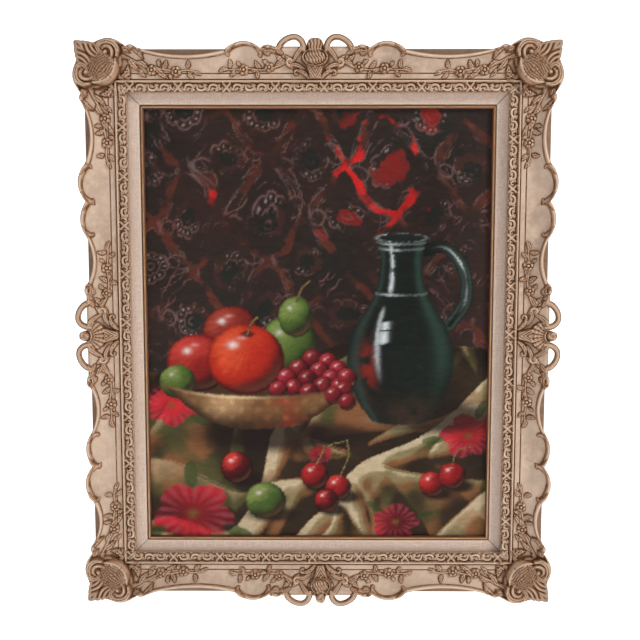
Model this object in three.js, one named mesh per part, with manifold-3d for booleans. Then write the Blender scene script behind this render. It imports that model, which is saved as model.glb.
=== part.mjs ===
// A picture on stretched canvas in a carved, swept frame with a linen liner and a gilt slip.
// Millimetres, +Z up. The picture faces -Y and hangs with its back on the plane Y = 0.
// The origin is on the back of the top rail, at the middle of the rail's width.
import * as THREE from "three";
import { mergeVertices } from "three/addons/utils/BufferGeometryUtils.js";
import Module from "manifold-3d";

const wasm = await Module();
wasm.setup();
const { Manifold, Mesh } = wasm;

// Driving dimensions
const SIGHT = { halfWidth: 197, halfHeight: 248 }; // the picture that shows
const CANVAS = { halfWidth: 203.2, halfHeight: 254, front: 18, thick: 0.7, deep: 17 }; // 16 by 20 in
const BAR = { wide: 38, thick: 16, inset: 1 }; // stretcher bars, inside the folded canvas
const SLIP = { wide: 4.3, tall: 4.6 };
const LINER = { inner: 4.6, outer: 23.6, rebate: 6.7, back: 4, innerFace: 21.4, outerFace: 22.5 };
const BASE = 64.5; // the straight base's edge, from the sight edge
const REBATE = 24;
const MITRE_GAP = 0.15; // half of the gap between two mitred ends
const GAP = 0.3; // between pieces that lie on each other
const WELD = 1e-4; // points closer than this are one

// Depths of the carved front, from the wall
const LEDGE = 23;
const BAND = { inner: 17.5, outer: 26.4, side: 28.3, ridge: 31.6, swing: 2.4, pitch: 34 };
const GROOVE = { outer: 28, height: 28.3 };
const BEAD = { crest: 29.9, height: 32.6, outer: 31.9 };
const STEP = { height: 30.2, outer: 37.6 };
const COVE = { start: 38.6, low: 29.4, curve: [[0, 0], [0.55, 0.27], [1, 1]] }; // across, and risen
const LIP = { height: 41, wide: 4.4, root: 37.6, drop: 2.2 };
const ROOTED = 28; // the swept face's underside, inside the straight body

// The ornament in the middle of each rail, and the corner one
const LOOP = { centre: 28, out: 1.6, along: 12.4, across: 11, radius: 3.1, height: 35.6 };
const LOOP_SWEEP = { first: -28, last: 205, steps: 6, sides: 4 }; // degrees, from the rail's middle
const MEDALLION = { out: -8, along: 15.5, across: 12, ribs: 6, low: 35.5, tall: 8 };
// Fluted pieces. Each end is [half width or place back from the corner, out, height, rise, bow].
const KNOB = { flutes: 3, low: 33, neck: [2.5, -2, 41, 1, 0], head: [6.8, 10, 37.6, 1.6, 2.5] };
const PALMETTE = { flutes: 3, low: 29.2, top: [12, -17, 34.5, 2.4, 0], foot: [6.5, -32.5, 31.2, 1.6, 0] };
const CARTOUCHE = { at: 19.5, along: 15, ribs: 6, low: 36, tall: 8.5 };
const CORNER_LEAF = { flutes: 3, low: 33, root: [13, 7, 41, 1, 1], tip: [14, -6.2, 37.4, 1.6, 7.5] };
const LEAF = { long: 15, wide: 4.6, tall: 3, lean: 0.85, stand: 5 };
const FLOWER = { petals: 5, radius: 6.2, rise: 3.4, notch: 0.6 };
const SPRAY = { bend: 2, flower: 0.5, leaves: [[0, 0], [0.3, 1], [0.76, -1], [1, 0]] }; // along, side
const MIDDLE_SPRAY = { from: [36, 49], to: [102, 45] }; // from the rail's middle
const CORNER_SPRAY = { from: [52, 51], to: [122, 43] }; // from the base's corner
const RIDGE = { sink: 1.8, tipSink: 0.6, lift: 0.9 };

// Leaf scrolls as [along, out from the base's edge, half width]. The corner's count back from the corner.
const UPPER_SCROLL = [[12, -15, 3], [23, -17, 4], [31, -10, 2.4]];
const LOWER_SCROLL = [[7, -32, 2.2], [17, -28, 3.6], [25, -22, 2]];
const CORNER_SCROLL = [[38, -4, 2.4], [46, -12, 4], [45, -25, 4], [35, -34.5, 2.4]];

// How a carved edge runs out from the rail's middle. Each stretch is an arc: where it ends, its level
// there outside the straight base, and how far it bulges out. corner counts back from the base's corner.
const MIDDLE_EDGE = [
  { to: 46, level: 1, bulge: 0 },
  { to: 60, level: -1, bulge: 3 },
];
const CORNER_EDGE = [
  { corner: 49, level: 1.5, bulge: 2.5 },
  { corner: 14, level: 5, bulge: 7 },
  { corner: -8, level: 7.5, bulge: 1 },
];
const SHORT_EDGE = [
  { to: 100, level: -2, bulge: 8.5 },
  { corner: 60, level: 0.5, bulge: -7 },
];
const LONG_EDGE = [
  { to: 113, level: -0.5, bulge: -6.5 },
  { to: 152, level: -1, bulge: 6.5 },
  { to: 194, level: -1, bulge: 8.5 },
  { corner: 60, level: 0.5, bulge: -7 },
];

const RAILS = {
  top: { turn: 0, half: SIGHT.halfWidth, out: SIGHT.halfHeight, middle: -3, edge: SHORT_EDGE },
  right: { turn: 1, half: SIGHT.halfHeight, out: SIGHT.halfWidth, middle: 8, edge: LONG_EDGE },
  bottom: { turn: 2, half: SIGHT.halfWidth, out: SIGHT.halfHeight, middle: -3, edge: SHORT_EDGE },
  left: { turn: 3, half: SIGHT.halfHeight, out: SIGHT.halfWidth, middle: -8, edge: LONG_EDGE },
};
const HANG = SIGHT.halfHeight + (REBATE + BASE) / 2; // the origin, above the picture's middle

const material = (color, roughness, metalness = 0) =>
  new THREE.MeshStandardMaterial({ color, roughness, metalness });
const ANTIQUE_CREAM = material(0xc9ae8e, 0.6);
const LINEN = material(0xcabcab, 0.9);
const GILT = material(0xb98a4c, 0.4, 0.7);
const PAINT = material(0x3a2422, 0.5);
const PINE = material(0xc9a878, 0.75);

// Closed solids from rings of points

function geometryOf(points, faces) {
  const geometry = new THREE.BufferGeometry();
  const flat = points.flatMap((p) => [p.x, p.y, p.z]);
  geometry.setAttribute("position", new THREE.Float32BufferAttribute(flat, 3));
  geometry.setIndex(faces);
  return geometry;
}

// A solid through rings of points. Rings of one point make a pointed end.
function loft(rings) {
  const points = rings.flat();
  const faces = [];
  let start = 0;
  for (let i = 0; i + 1 < rings.length; i++) {
    const here = rings[i].length;
    const next = rings[i + 1].length;
    const count = Math.max(here, next);
    for (let j = 0; j < count; j++) {
      const k = (j + 1) % count;
      const [a, b] = here > 1 ? [start + j, start + k] : [start, start];
      const [c, d] = next > 1 ? [start + here + j, start + here + k] : [start + here, start + here];
      if (here > 1) faces.push(a, b, c);
      if (next > 1) faces.push(b, d, c);
    }
    start += here;
  }
  const cap = (ring, first, flip) => {
    if (ring.length < 3) return;
    const normal = new THREE.Vector3();
    const centre = ring.reduce((s, p) => s.add(p), new THREE.Vector3()).divideScalar(ring.length);
    ring.forEach((p, j) => {
      const q = ring[(j + 1) % ring.length];
      normal.add(p.clone().sub(centre).cross(q.clone().sub(centre)));
    });
    normal.normalize();
    const across = new THREE.Vector3().subVectors(ring[1], ring[0]).cross(normal).normalize();
    const along = new THREE.Vector3().crossVectors(normal, across);
    const outline = ring.map((p) => new THREE.Vector2(p.dot(across), p.dot(along)));
    for (const [a, b, c] of THREE.ShapeUtils.triangulateShape(outline, []))
      faces.push(first + a, first + (flip ? c : b), first + (flip ? b : c));
  };
  cap(rings[0], 0, true);
  cap(rings.at(-1), start, false);
  return geometryOf(points, faces);
}

// A closed geometry as a solid with its faces pointing out.
function solid(geometry) {
  const bare = geometry.clone();
  bare.deleteAttribute("normal");
  bare.deleteAttribute("uv");
  const merged = mergeVertices(bare, WELD);
  const triVerts = new Uint32Array(merged.index.array);
  const corner = (i) => new THREE.Vector3().fromBufferAttribute(merged.attributes.position, triVerts[i]);
  let volume = 0;
  for (let i = 0; i < triVerts.length; i += 3) volume += corner(i).dot(corner(i + 1).cross(corner(i + 2)));
  if (volume < 0) triVerts.reverse(); // turns every face round
  const vertProperties = new Float32Array(merged.attributes.position.array);
  return new Manifold(new Mesh({ numProp: 3, vertProperties, triVerts }));
}

function geometryFrom(manifold) {
  const { numProp, vertProperties, triVerts } = manifold.getMesh();
  const geometry = new THREE.BufferGeometry();
  geometry.setAttribute("position", new THREE.BufferAttribute(vertProperties, numProp));
  geometry.setIndex(new THREE.BufferAttribute(triVerts, 1));
  geometry.computeVertexNormals();
  return geometry;
}

// A rail's own frame: u along the rail, v out from the sight edge, h forward from the wall.
// It is built as a top rail, and turned round the picture's middle.
const place = (rail, u, v, h) => new THREE.Vector3(u, -h, rail.out + v);

// The carved edge

const cornerAt = (rail) => rail.half + BASE; // the base's corner, along the rail

// The stretches of one half's edge as { from, to, start, end, bulge }, outwards from the rail's middle.
function stretches(rail, side) {
  const length = cornerAt(rail) - side * rail.middle;
  let from = 0;
  let start = MIDDLE_EDGE[0].level;
  return [...MIDDLE_EDGE, ...rail.edge, ...CORNER_EDGE].map((s) => {
    const to = s.to ?? length - s.corner;
    const made = { from, to, start, end: s.level, bulge: s.bulge };
    from = to;
    start = s.level;
    return made;
  });
}

// How far the carved edge stands outside the straight base at u.
function edgeAt(rail, u) {
  const side = u < rail.middle ? -1 : 1;
  const r = Math.abs(u - rail.middle);
  const all = stretches(rail, side);
  const s = all.find((x) => r <= x.to) ?? all.at(-1);
  const t = Math.min(1, (r - s.from) / (s.to - s.from));
  return s.start + (s.end - s.start) * t + s.bulge * 4 * t * (1 - t);
}

// The carved face's height between the moulding and the lip.
function coveAt(rail, u, v) {
  const root = BASE + edgeAt(rail, u) - LIP.wide;
  const t = THREE.MathUtils.clamp((v - COVE.start) / (root - COVE.start), 0, 1);
  const i = t < COVE.curve[1][0] ? 0 : 1;
  const [[t0, s0], [t1, s1]] = COVE.curve.slice(i, i + 2);
  const risen = s0 + ((s1 - s0) * (t - t0)) / (t1 - t0);
  return STEP.height + (LIP.root - STEP.height) * risen;
}

// The cove and the lip at u, on top of the straight body.
function sweptSection(rail, u) {
  const edge = BASE + edgeAt(rail, u);
  const root = edge - LIP.wide;
  const middle = COVE.start + (root - COVE.start) * COVE.curve[1][0];
  return [
    [COVE.start, ROOTED],
    [COVE.start, STEP.height],
    [middle, coveAt(rail, u, middle)],
    [root, LIP.root],
    [edge - LIP.wide / 2, LIP.height],
    [edge, LIP.height - LIP.drop],
    [Math.min(edge, BASE) - 1, ROOTED],
  ].map(([v, h]) => place(rail, u, v, h));
}

function sweptFace(rail) {
  const past = 14; // beyond the base's corner, where the mitre cuts
  const [strong, slight] = [4, 1];
  const marks = new Set();
  for (const side of [-1, 1]) {
    for (const s of stretches(rail, side)) {
      const bulge = Math.abs(s.bulge);
      const steps = bulge > strong ? 4 : bulge > slight ? 2 : 1;
      for (let i = 0; i <= steps; i++) {
        const r = s.from + ((s.to - s.from) * i) / steps;
        marks.add(Math.round((rail.middle + side * r) * 100) / 100);
      }
    }
    marks.add(side * (cornerAt(rail) + past));
  }
  return solid(loft([...marks].sort((a, b) => a - b).map((u) => sweptSection(rail, u))));
}

// The straight body: the back, the rebate, the bead, the step and the base behind the swept face.
const bodyOutline = [
  [REBATE, 0],
  [REBATE, LEDGE],
  [BAND.inner, LEDGE],
  [BAND.inner, ROOTED],
  [BAND.outer, ROOTED],
  [BAND.outer, GROOVE.height],
  [GROOVE.outer, GROOVE.height],
  [BEAD.crest, BEAD.height],
  [BEAD.outer, STEP.height],
  [STEP.outer, STEP.height],
  [STEP.outer + 0.2, COVE.low],
  [BASE, COVE.low],
  [BASE, 0],
];

// The band round the sight edge: a twisted ribbon, whose ridge swings from side to side.
function sightBand(rail) {
  const reach = rail.half + BAND.outer;
  const count = 2 * Math.round((2 * reach) / BAND.pitch) + 1;
  const middle = (BAND.inner + BAND.outer) / 2;
  const rings = Array.from({ length: count + 1 }, (_, i) => {
    const u = reach * ((2 * i) / count - 1);
    const outline = [
      [BAND.inner, LEDGE + 2],
      [BAND.inner, BAND.side],
      [middle + BAND.swing * (i % 2 ? 1 : -1), BAND.ridge],
      [BAND.outer, BAND.side],
      [BAND.outer, LEDGE + 2],
    ];
    return outline.map(([v, h]) => place(rail, u, v, h));
  });
  return solid(loft(rings));
}

// Carving: ridges, leaves, flowers and scrolls that stand on the face

// A ridge along points { u, v, w, h }: half its width is w, and h its height over the face there.
// surface gives the face's height. A point without w is a tip.
function ridge(rail, points, surface) {
  const rings = points.map((p, i) => {
    const before = points[Math.max(0, i - 1)];
    const after = points[Math.min(points.length - 1, i + 1)];
    const run = Math.hypot(after.u - before.u, after.v - before.v);
    const [nu, nv] = [-(after.v - before.v) / run, (after.u - before.u) / run];
    const face = surface(p.u, p.v);
    if (!p.w) return [place(rail, p.u, p.v, face - RIDGE.tipSink)];
    const edge = (s) => {
      const [u, v] = [p.u + s * nu * p.w, p.v + s * nv * p.w];
      return place(rail, u, v, surface(u, v) - RIDGE.sink);
    };
    return [edge(-1), place(rail, p.u, p.v, face + p.h), edge(1)];
  });
  return solid(loft(rings));
}

// A pointed leaf that lies on the face and is turned by angle.
function leaf(rail, u, v, angle, surface) {
  const [du, dv] = [(LEAF.long / 2) * Math.cos(angle), (LEAF.long / 2) * Math.sin(angle)];
  const points = [
    { u: u - du, v: v - dv },
    { u, v, w: LEAF.wide, h: LEAF.tall },
    { u: u + du, v: v + dv },
  ];
  return ridge(rail, points, surface);
}

// A flower on the face: its rim goes in and out for the petals.
function flower(rail, u, v, surface) {
  const base = surface(u, v);
  const rim = Array.from({ length: FLOWER.petals * 2 }, (_, i) => {
    const angle = (i * Math.PI) / FLOWER.petals;
    const r = FLOWER.radius * (i % 2 ? FLOWER.notch : 1);
    const [pu, pv] = [u + r * Math.cos(angle), v + r * Math.sin(angle)];
    return place(rail, pu, pv, surface(pu, pv) - RIDGE.tipSink / 2);
  });
  const [foot, top] = [-RIDGE.sink, FLOWER.rise].map((h) => [place(rail, u, v, base + h)]);
  return solid(loft([foot, rim, top]));
}

// A ribbed shell: a dome whose rim goes in and out.
function shell(rail, { u, v }, { along, across = along, ribs, low, tall }) {
  const dip = 0.88;
  const [crown, crownHeight] = [0.62, 0.72]; // shares of the rim's reach and of the height
  const ring = (share, h) =>
    Array.from({ length: ribs * 2 }, (_, i) => {
      const angle = (i * Math.PI) / ribs;
      const r = share * (i % 2 ? dip : 1);
      return place(rail, u + along * r * Math.cos(angle), v + across * r * Math.sin(angle), h);
    });
  const rings = [ring(1, low), ring(crown, low + tall * crownHeight), [place(rail, u, v, low + tall)]];
  return solid(loft(rings));
}

// Flutes that run through sections { a, b, h, rise, bow }. Each section goes across from a to b, dips
// between the flutes by rise, and bows out by bow in its middle.
function fluted(rail, sections, { flutes, low }) {
  const rings = sections.map(({ a, b, h, rise, bow }) => {
    const run = Math.hypot(b.u - a.u, b.v - a.v);
    const [nu, nv] = [-(b.v - a.v) / run, (b.u - a.u) / run];
    const top = Array.from({ length: flutes * 2 + 1 }, (_, i) => {
      const t = i / (flutes * 2);
      const out = bow * 4 * t * (1 - t);
      const [u, v] = [a.u + (b.u - a.u) * t + nu * out, a.v + (b.v - a.v) * t + nv * out];
      return place(rail, u, v, i % 2 ? h + rise : h);
    });
    return [...top, place(rail, b.u, b.v, low), place(rail, a.u, a.v, low)];
  });
  return solid(loft(rings));
}

// A round bar along points { u, v, h, r }.
function bar(rail, points) {
  const path = points.map((p) => place(rail, p.u, p.v, p.h));
  const rings = path.map((p, i) => {
    const run = path[Math.min(path.length - 1, i + 1)].clone().sub(path[Math.max(0, i - 1)]);
    const forward = new THREE.Vector3(0, -1, 0);
    const across = new THREE.Vector3().crossVectors(run, forward).normalize();
    return Array.from({ length: LOOP_SWEEP.sides }, (_, k) => {
      const angle = (k * 2 * Math.PI) / LOOP_SWEEP.sides;
      return p
        .clone()
        .addScaledVector(across, points[i].r * Math.cos(angle))
        .addScaledVector(forward, points[i].r * Math.sin(angle));
    });
  });
  return solid(loft(rings));
}

// The middle of a rail: two open loops, a fluted knob, a ribbed medallion, a palmette and leaf scrolls.
function middleOrnament(rail) {
  const at = (along, out) => ({ u: rail.middle + along, v: BASE + out });
  const face = (u, v) => coveAt(rail, u, v);
  const made = [];
  for (const side of [-1, 1]) {
    const { first, last, steps } = LOOP_SWEEP;
    const loop = Array.from({ length: steps + 1 }, (_, i) => {
      const angle = THREE.MathUtils.degToRad(first + ((last - first) * i) / steps);
      const along = LOOP.centre - LOOP.along * Math.cos(angle);
      const out = LOOP.out + LOOP.across * Math.sin(angle);
      return { ...at(side * along, out), h: LOOP.height, r: LOOP.radius };
    });
    made.push(bar(rail, loop));
    for (const scroll of [UPPER_SCROLL, LOWER_SCROLL]) {
      const points = scroll.map(([along, out, w]) => ({ ...at(side * along, out), w, h: w * RIDGE.lift }));
      made.push(ridge(rail, points, face));
    }
  }
  made.push(shell(rail, at(0, MEDALLION.out), MEDALLION));
  const across = ([half, out, h, rise, bow]) => ({ a: at(-half, out), b: at(half, out), h, rise, bow });
  made.push(fluted(rail, [across(KNOB.neck), across(KNOB.head)], KNOB));
  made.push(fluted(rail, [across(PALMETTE.top), across(PALMETTE.foot)], PALMETTE));
  return made;
}

// The corner ornament, the same on both sides of the mitre. p counts from the base's corner back along
// the rail, and q from the base's edge inwards.
function cornerOrnament(rail, side) {
  const at = (p, q) => ({ u: side * (cornerAt(rail) - p), v: BASE - q });
  const face = (u, v) => {
    const [p, q] = [cornerAt(rail) - side * u, BASE - v];
    return coveAt(rail, side * (cornerAt(rail) - Math.max(p, q)), BASE - Math.min(p, q));
  };
  const scroll = CORNER_SCROLL.map(([p, out, w]) => ({ ...at(p, -out), w, h: w * RIDGE.lift }));
  // the fluted leaf lies across the mitre, so its ends mirror each other
  const across = ([p, q, h, rise, bow]) => {
    const [a, b] = side > 0 ? [at(p, q), at(q, p)] : [at(q, p), at(p, q)];
    return { a, b, h, rise, bow };
  };
  return [
    ridge(rail, scroll, face),
    shell(rail, at(CARTOUCHE.at, CARTOUCHE.at), CARTOUCHE),
    fluted(rail, [across(CORNER_LEAF.root), across(CORNER_LEAF.tip)], CORNER_LEAF),
  ];
}

// A spray of leaves round a flower, along a swinging line from one point of the face to another.
function spray(rail, from, to, side) {
  const face = (u, v) => coveAt(rail, u, v);
  const [du, dv] = [to.u - from.u, to.v - from.v];
  const run = Math.hypot(du, dv);
  const heading = Math.atan2(dv, du);
  const on = (t, off = 0) => {
    const swing = side * SPRAY.bend * Math.sin(t * 2 * Math.PI) + off;
    return { u: from.u + du * t - (dv / run) * swing, v: from.v + dv * t + (du / run) * swing };
  };
  const made = SPRAY.leaves.map(([t, s]) => {
    const { u, v } = on(t, s * LEAF.stand);
    return leaf(rail, u, v, heading + s * LEAF.lean, face);
  });
  const { u, v } = on(SPRAY.flower);
  made.push(flower(rail, u, v, face));
  return made;
}

function sprays(rail) {
  const made = [];
  for (const side of [-1, 1]) {
    const out = ([r, v]) => ({ u: rail.middle + side * r, v });
    const back = ([c, v]) => ({ u: side * (cornerAt(rail) - c), v });
    made.push(...spray(rail, out(MIDDLE_SPRAY.from), out(MIDDLE_SPRAY.to), side));
    made.push(...spray(rail, back(CORNER_SPRAY.from), back(CORNER_SPRAY.to), side));
  }
  return made;
}

// What one rail keeps between its two mitres.
function mitred(rail, shape) {
  const [near, far] = [-45, 140]; // past any piece, both ways
  const [behind, before] = [-20, 90];
  const cut = MITRE_GAP * Math.SQRT2;
  const [short, long] = [rail.half + near - cut, rail.half + far - cut];
  const outline = [[-short, near], [short, near], [long, far], [-long, far]];
  const ring = (h) => outline.map(([u, v]) => place(rail, u, v, h));
  return shape.intersect(solid(loft([ring(behind), ring(before)])));
}

function carvedRail(rail) {
  const pieces = [
    sweptFace(rail),
    sightBand(rail),
    ...middleOrnament(rail),
    ...cornerOrnament(rail, -1),
    ...cornerOrnament(rail, 1),
    ...sprays(rail),
  ];
  const body = straight(rail, bodyOutline);
  return mitred(rail, pieces.reduce((whole, piece) => whole.add(piece), body));
}

// A straight run of a section given as [v, h] points, longer than the rail.
function straight(rail, outline) {
  const shape = new THREE.Shape(outline.map(([v, h]) => new THREE.Vector2(v, h)));
  const reach = rail.half + 90;
  const bar = new THREE.ExtrudeGeometry(shape, { depth: 2 * reach, bevelEnabled: false });
  // the section's x runs outwards, its y forwards, and the bar lies along the rail
  const basis = new THREE.Matrix4().makeBasis(
    new THREE.Vector3(0, 0, 1),
    new THREE.Vector3(0, -1, 0),
    new THREE.Vector3(1, 0, 0),
  );
  bar.applyMatrix4(basis);
  bar.translate(-reach, 0, rail.out);
  return solid(bar);
}

const linerOutline = [
  [LINER.rebate, LINER.back],
  [LINER.outer, LINER.back],
  [LINER.outer, LINER.outerFace],
  [LINER.inner + 1, LINER.innerFace],
  [LINER.inner, LINER.innerFace - 1],
  [LINER.inner, CANVAS.front + GAP],
  [LINER.rebate, CANVAS.front + GAP],
];

// The slip's face is half round.
function slipOutline() {
  const foot = CANVAS.front + GAP;
  const steps = 6;
  const middle = foot + SLIP.tall - SLIP.wide / 2;
  const arc = Array.from({ length: steps + 1 }, (_, i) => {
    const angle = (i * Math.PI) / steps;
    return [SLIP.wide / 2 + (SLIP.wide / 2) * Math.cos(angle), middle + (SLIP.wide / 2) * Math.sin(angle)];
  });
  return [[0, foot], [SLIP.wide, foot], ...arc];
}

// The canvas: a sheet over the bars with its four edges folded back round them.
function canvas() {
  const { halfWidth, halfHeight, front, thick, deep } = CANVAS;
  const box = (hw, hh, near, far) => {
    const shape = new THREE.BoxGeometry(2 * hw, far - near, 2 * hh);
    shape.translate(0, -(near + far) / 2, 0);
    return solid(shape);
  };
  const whole = box(halfWidth, halfHeight, front - deep, front);
  return whole.subtract(box(halfWidth - thick, halfHeight - thick, front - deep - 1, front - thick));
}

function stretcherBar(rail) {
  const outer = CANVAS.halfWidth - SIGHT.halfWidth - BAR.inset;
  const back = CANVAS.front - CANVAS.thick - GAP - BAR.thick;
  const inner = outer - BAR.wide;
  const outline = [[inner, back], [outer, back], [outer, back + BAR.thick], [inner, back + BAR.thick - 1.5]];
  return mitred(rail, straight(rail, outline));
}

const picture = new THREE.Group();
picture.position.set(0, 0, -HANG);

function add(name, shape, finish, turn = 0) {
  const mesh = new THREE.Mesh(geometryFrom(shape), finish);
  mesh.name = name;
  mesh.rotation.y = (turn * Math.PI) / 2;
  picture.add(mesh);
}

add("canvas", canvas(), PAINT);
for (const [name, rail] of Object.entries(RAILS)) {
  add(`frame_rail_${name}`, carvedRail(rail), ANTIQUE_CREAM, rail.turn);
  add(`liner_${name}`, mitred(rail, straight(rail, linerOutline)), LINEN, rail.turn);
  add(`gilt_slip_${name}`, mitred(rail, straight(rail, slipOutline())), GILT, rail.turn);
  add(`stretcher_${name}`, stretcherBar(rail), PINE, rail.turn);
}

const part = new THREE.Group();
part.add(picture);

export default part;
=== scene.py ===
import math

import bmesh
import bpy
import numpy as np
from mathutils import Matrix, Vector


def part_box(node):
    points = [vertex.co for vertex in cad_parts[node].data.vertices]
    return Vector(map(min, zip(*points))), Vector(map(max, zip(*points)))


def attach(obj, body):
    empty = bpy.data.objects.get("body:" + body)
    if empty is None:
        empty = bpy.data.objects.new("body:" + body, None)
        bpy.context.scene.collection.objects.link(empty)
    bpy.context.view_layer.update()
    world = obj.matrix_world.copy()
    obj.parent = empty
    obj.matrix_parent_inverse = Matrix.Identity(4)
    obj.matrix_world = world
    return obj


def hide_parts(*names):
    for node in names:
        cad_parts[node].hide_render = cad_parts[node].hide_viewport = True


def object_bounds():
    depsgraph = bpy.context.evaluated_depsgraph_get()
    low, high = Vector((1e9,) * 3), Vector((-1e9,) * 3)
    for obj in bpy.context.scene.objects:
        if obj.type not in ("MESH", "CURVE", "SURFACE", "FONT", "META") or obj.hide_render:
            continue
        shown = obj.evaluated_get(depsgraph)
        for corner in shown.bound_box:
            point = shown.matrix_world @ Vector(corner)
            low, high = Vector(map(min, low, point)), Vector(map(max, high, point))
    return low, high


# A picture on canvas in a carved, swept frame with a linen liner and a gilt slip.
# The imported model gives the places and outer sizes. Here each rail gets its carving, the canvas its
# painting, and every surface its finish. Sizes are in millimetres, but in metres for camera and studio.

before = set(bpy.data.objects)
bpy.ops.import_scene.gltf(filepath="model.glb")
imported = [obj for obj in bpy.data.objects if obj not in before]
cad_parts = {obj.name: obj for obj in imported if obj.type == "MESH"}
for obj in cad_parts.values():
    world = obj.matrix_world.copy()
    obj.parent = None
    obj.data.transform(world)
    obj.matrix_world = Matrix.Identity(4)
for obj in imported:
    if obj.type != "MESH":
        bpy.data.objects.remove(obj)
cad_low, cad_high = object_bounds()
MM = 0.001

canvas_low, canvas_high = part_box("canvas")
MIDDLE = (canvas_low + canvas_high) / 2
SIGHT_WIDTH = (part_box("gilt_slip_right")[0].x - MIDDLE.x) / MM  # half of what shows of the picture
SIGHT_HEIGHT = (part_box("gilt_slip_top")[0].z - MIDDLE.z) / MM
CANVAS_WIDTH = (canvas_high.x - MIDDLE.x) / MM
CANVAS_HEIGHT = (canvas_high.z - MIDDLE.z) / MM
CANVAS_FRONT = -canvas_low.y / MM  # from the wall

# Across a rail, from the sight edge out
BASE = 64.5  # the straight base's edge
REBATE = 24
LEDGE = 23  # height of the rebate's floor, from the wall
BAND_INNER, BAND_OUTER = 17.5, 27.2
BEAD = 29.2
STEP_INNER, STEP_OUTER = 31.2, 37.4
COVE = 38.6
LIP = 4.4  # width

# Heights from the wall
BAND_BED = 28.6
BAND_TOP = 31.4
GROOVE_BED = 28.4
BEAD_TOP = 32.5
STEP_TOP = 30.2
LIP_ROOT = 37.4
LIP_TOP = 40.8
BASE_FRONT = 29.4
HIGHEST = -cad_low.y / MM - 0.1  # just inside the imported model

MITRE = 0.2  # what each end stays short of the mitre
GRID = 0.66  # between two points of the carving along the rail
INNER_DENSITY, OUTER_DENSITY = 1.15, 1.2  # points across the rail, for each that a square grid would have
FARTHEST = 16  # farther outside the straight base than any part of the edge

# The swept edge of one half rail, out from its middle. Each stretch is an arc: where it ends, its level
# there outside the straight base, and how far it bulges. Negative ends count back from the base's corner.
MIDDLE_EDGE = [(46, 1, 0), (60, -1, 3)]
CORNER_EDGE = [(-49, 1.5, 2.5), (-14, 5, 7), (8, 7.5, 1)]
SHORT_EDGE = [(100, -2, 8.5), (-60, 0.5, -7)]
LONG_EDGE = [(113, -0.5, -6.5), (152, -1, 6.5), (194, -1, 8.5), (-60, 0.5, -7)]


def rail_plan(turn, middle):
    """A rail's values, from its quarter turns away from the top and where its ornament's middle is."""
    level, top = turn % 2 == 0, turn == 0
    return {
        "turn": turn,
        "middle": middle,
        "half": SIGHT_WIDTH if level else SIGHT_HEIGHT,
        "out": SIGHT_HEIGHT if level else SIGHT_WIDTH,
        "edge": SHORT_EDGE if level else LONG_EDGE,
        "fan": top,  # the knob outside the shell is a fan on the top rail and a ball on the others
        "knob": (9.6, 10.4) if top else (6.2, 10.6),  # half its width, and its reach
        "oval": {0: 14.4, 2: 11.4}.get(turn),  # half the shell's length where it is an oval
        "loop_shift": 0 if level else -2.5,
    }


RAILS = {
    "top": rail_plan(0, -3),
    "right": rail_plan(1, 8),
    "bottom": rail_plan(2, -3),
    "left": rail_plan(3, -8),
}


def in_room(rail, u, v, h):
    """Points of a rail's own frame in metres: u along the rail, v out from the picture, h to the front."""
    turn = rail["turn"] * math.pi / 2
    out = rail["out"] + v
    x = MIDDLE.x + MM * (u * math.cos(turn) + out * math.sin(turn))
    z = MIDDLE.z + MM * (out * math.cos(turn) - u * math.sin(turn))
    return np.stack(np.broadcast_arrays(x, -h * MM, z), axis=-1)


# Camera, light and floor


def aimed(name, data, place, aim):
    """An object at a place, turned towards a point."""
    made = bpy.data.objects.new(name, data)
    made.location = place
    made.rotation_mode = "QUATERNION"
    made.rotation_quaternion = (aim - made.location).to_track_quat("-Z", "Y")
    bpy.context.scene.collection.objects.link(made)
    return made


def add_camera():
    """The photograph's viewpoint: a little above the picture's middle and slightly to its right."""
    distance, above, aside = 1.0546, 0.112, 0.008
    aim_above, aim_aside = 0.0066, 0.0022
    data = bpy.data.cameras.new("camera")
    data.sensor_width = 36
    data.lens = 50.6
    place = (MIDDLE.x + aside, -distance, MIDDLE.z + above)
    aim = Vector((MIDDLE.x + aim_aside, 0, MIDDLE.z + aim_above))
    bpy.context.scene.camera = aimed("camera", data, place, aim)


def add_light(name, place, size, power, color=(1, 1, 1)):
    data = bpy.data.lights.new(name, "AREA")
    data.shape = "DISK"
    data.size = size
    data.energy = power
    data.color = color
    aimed(name, data, place, MIDDLE)


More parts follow.
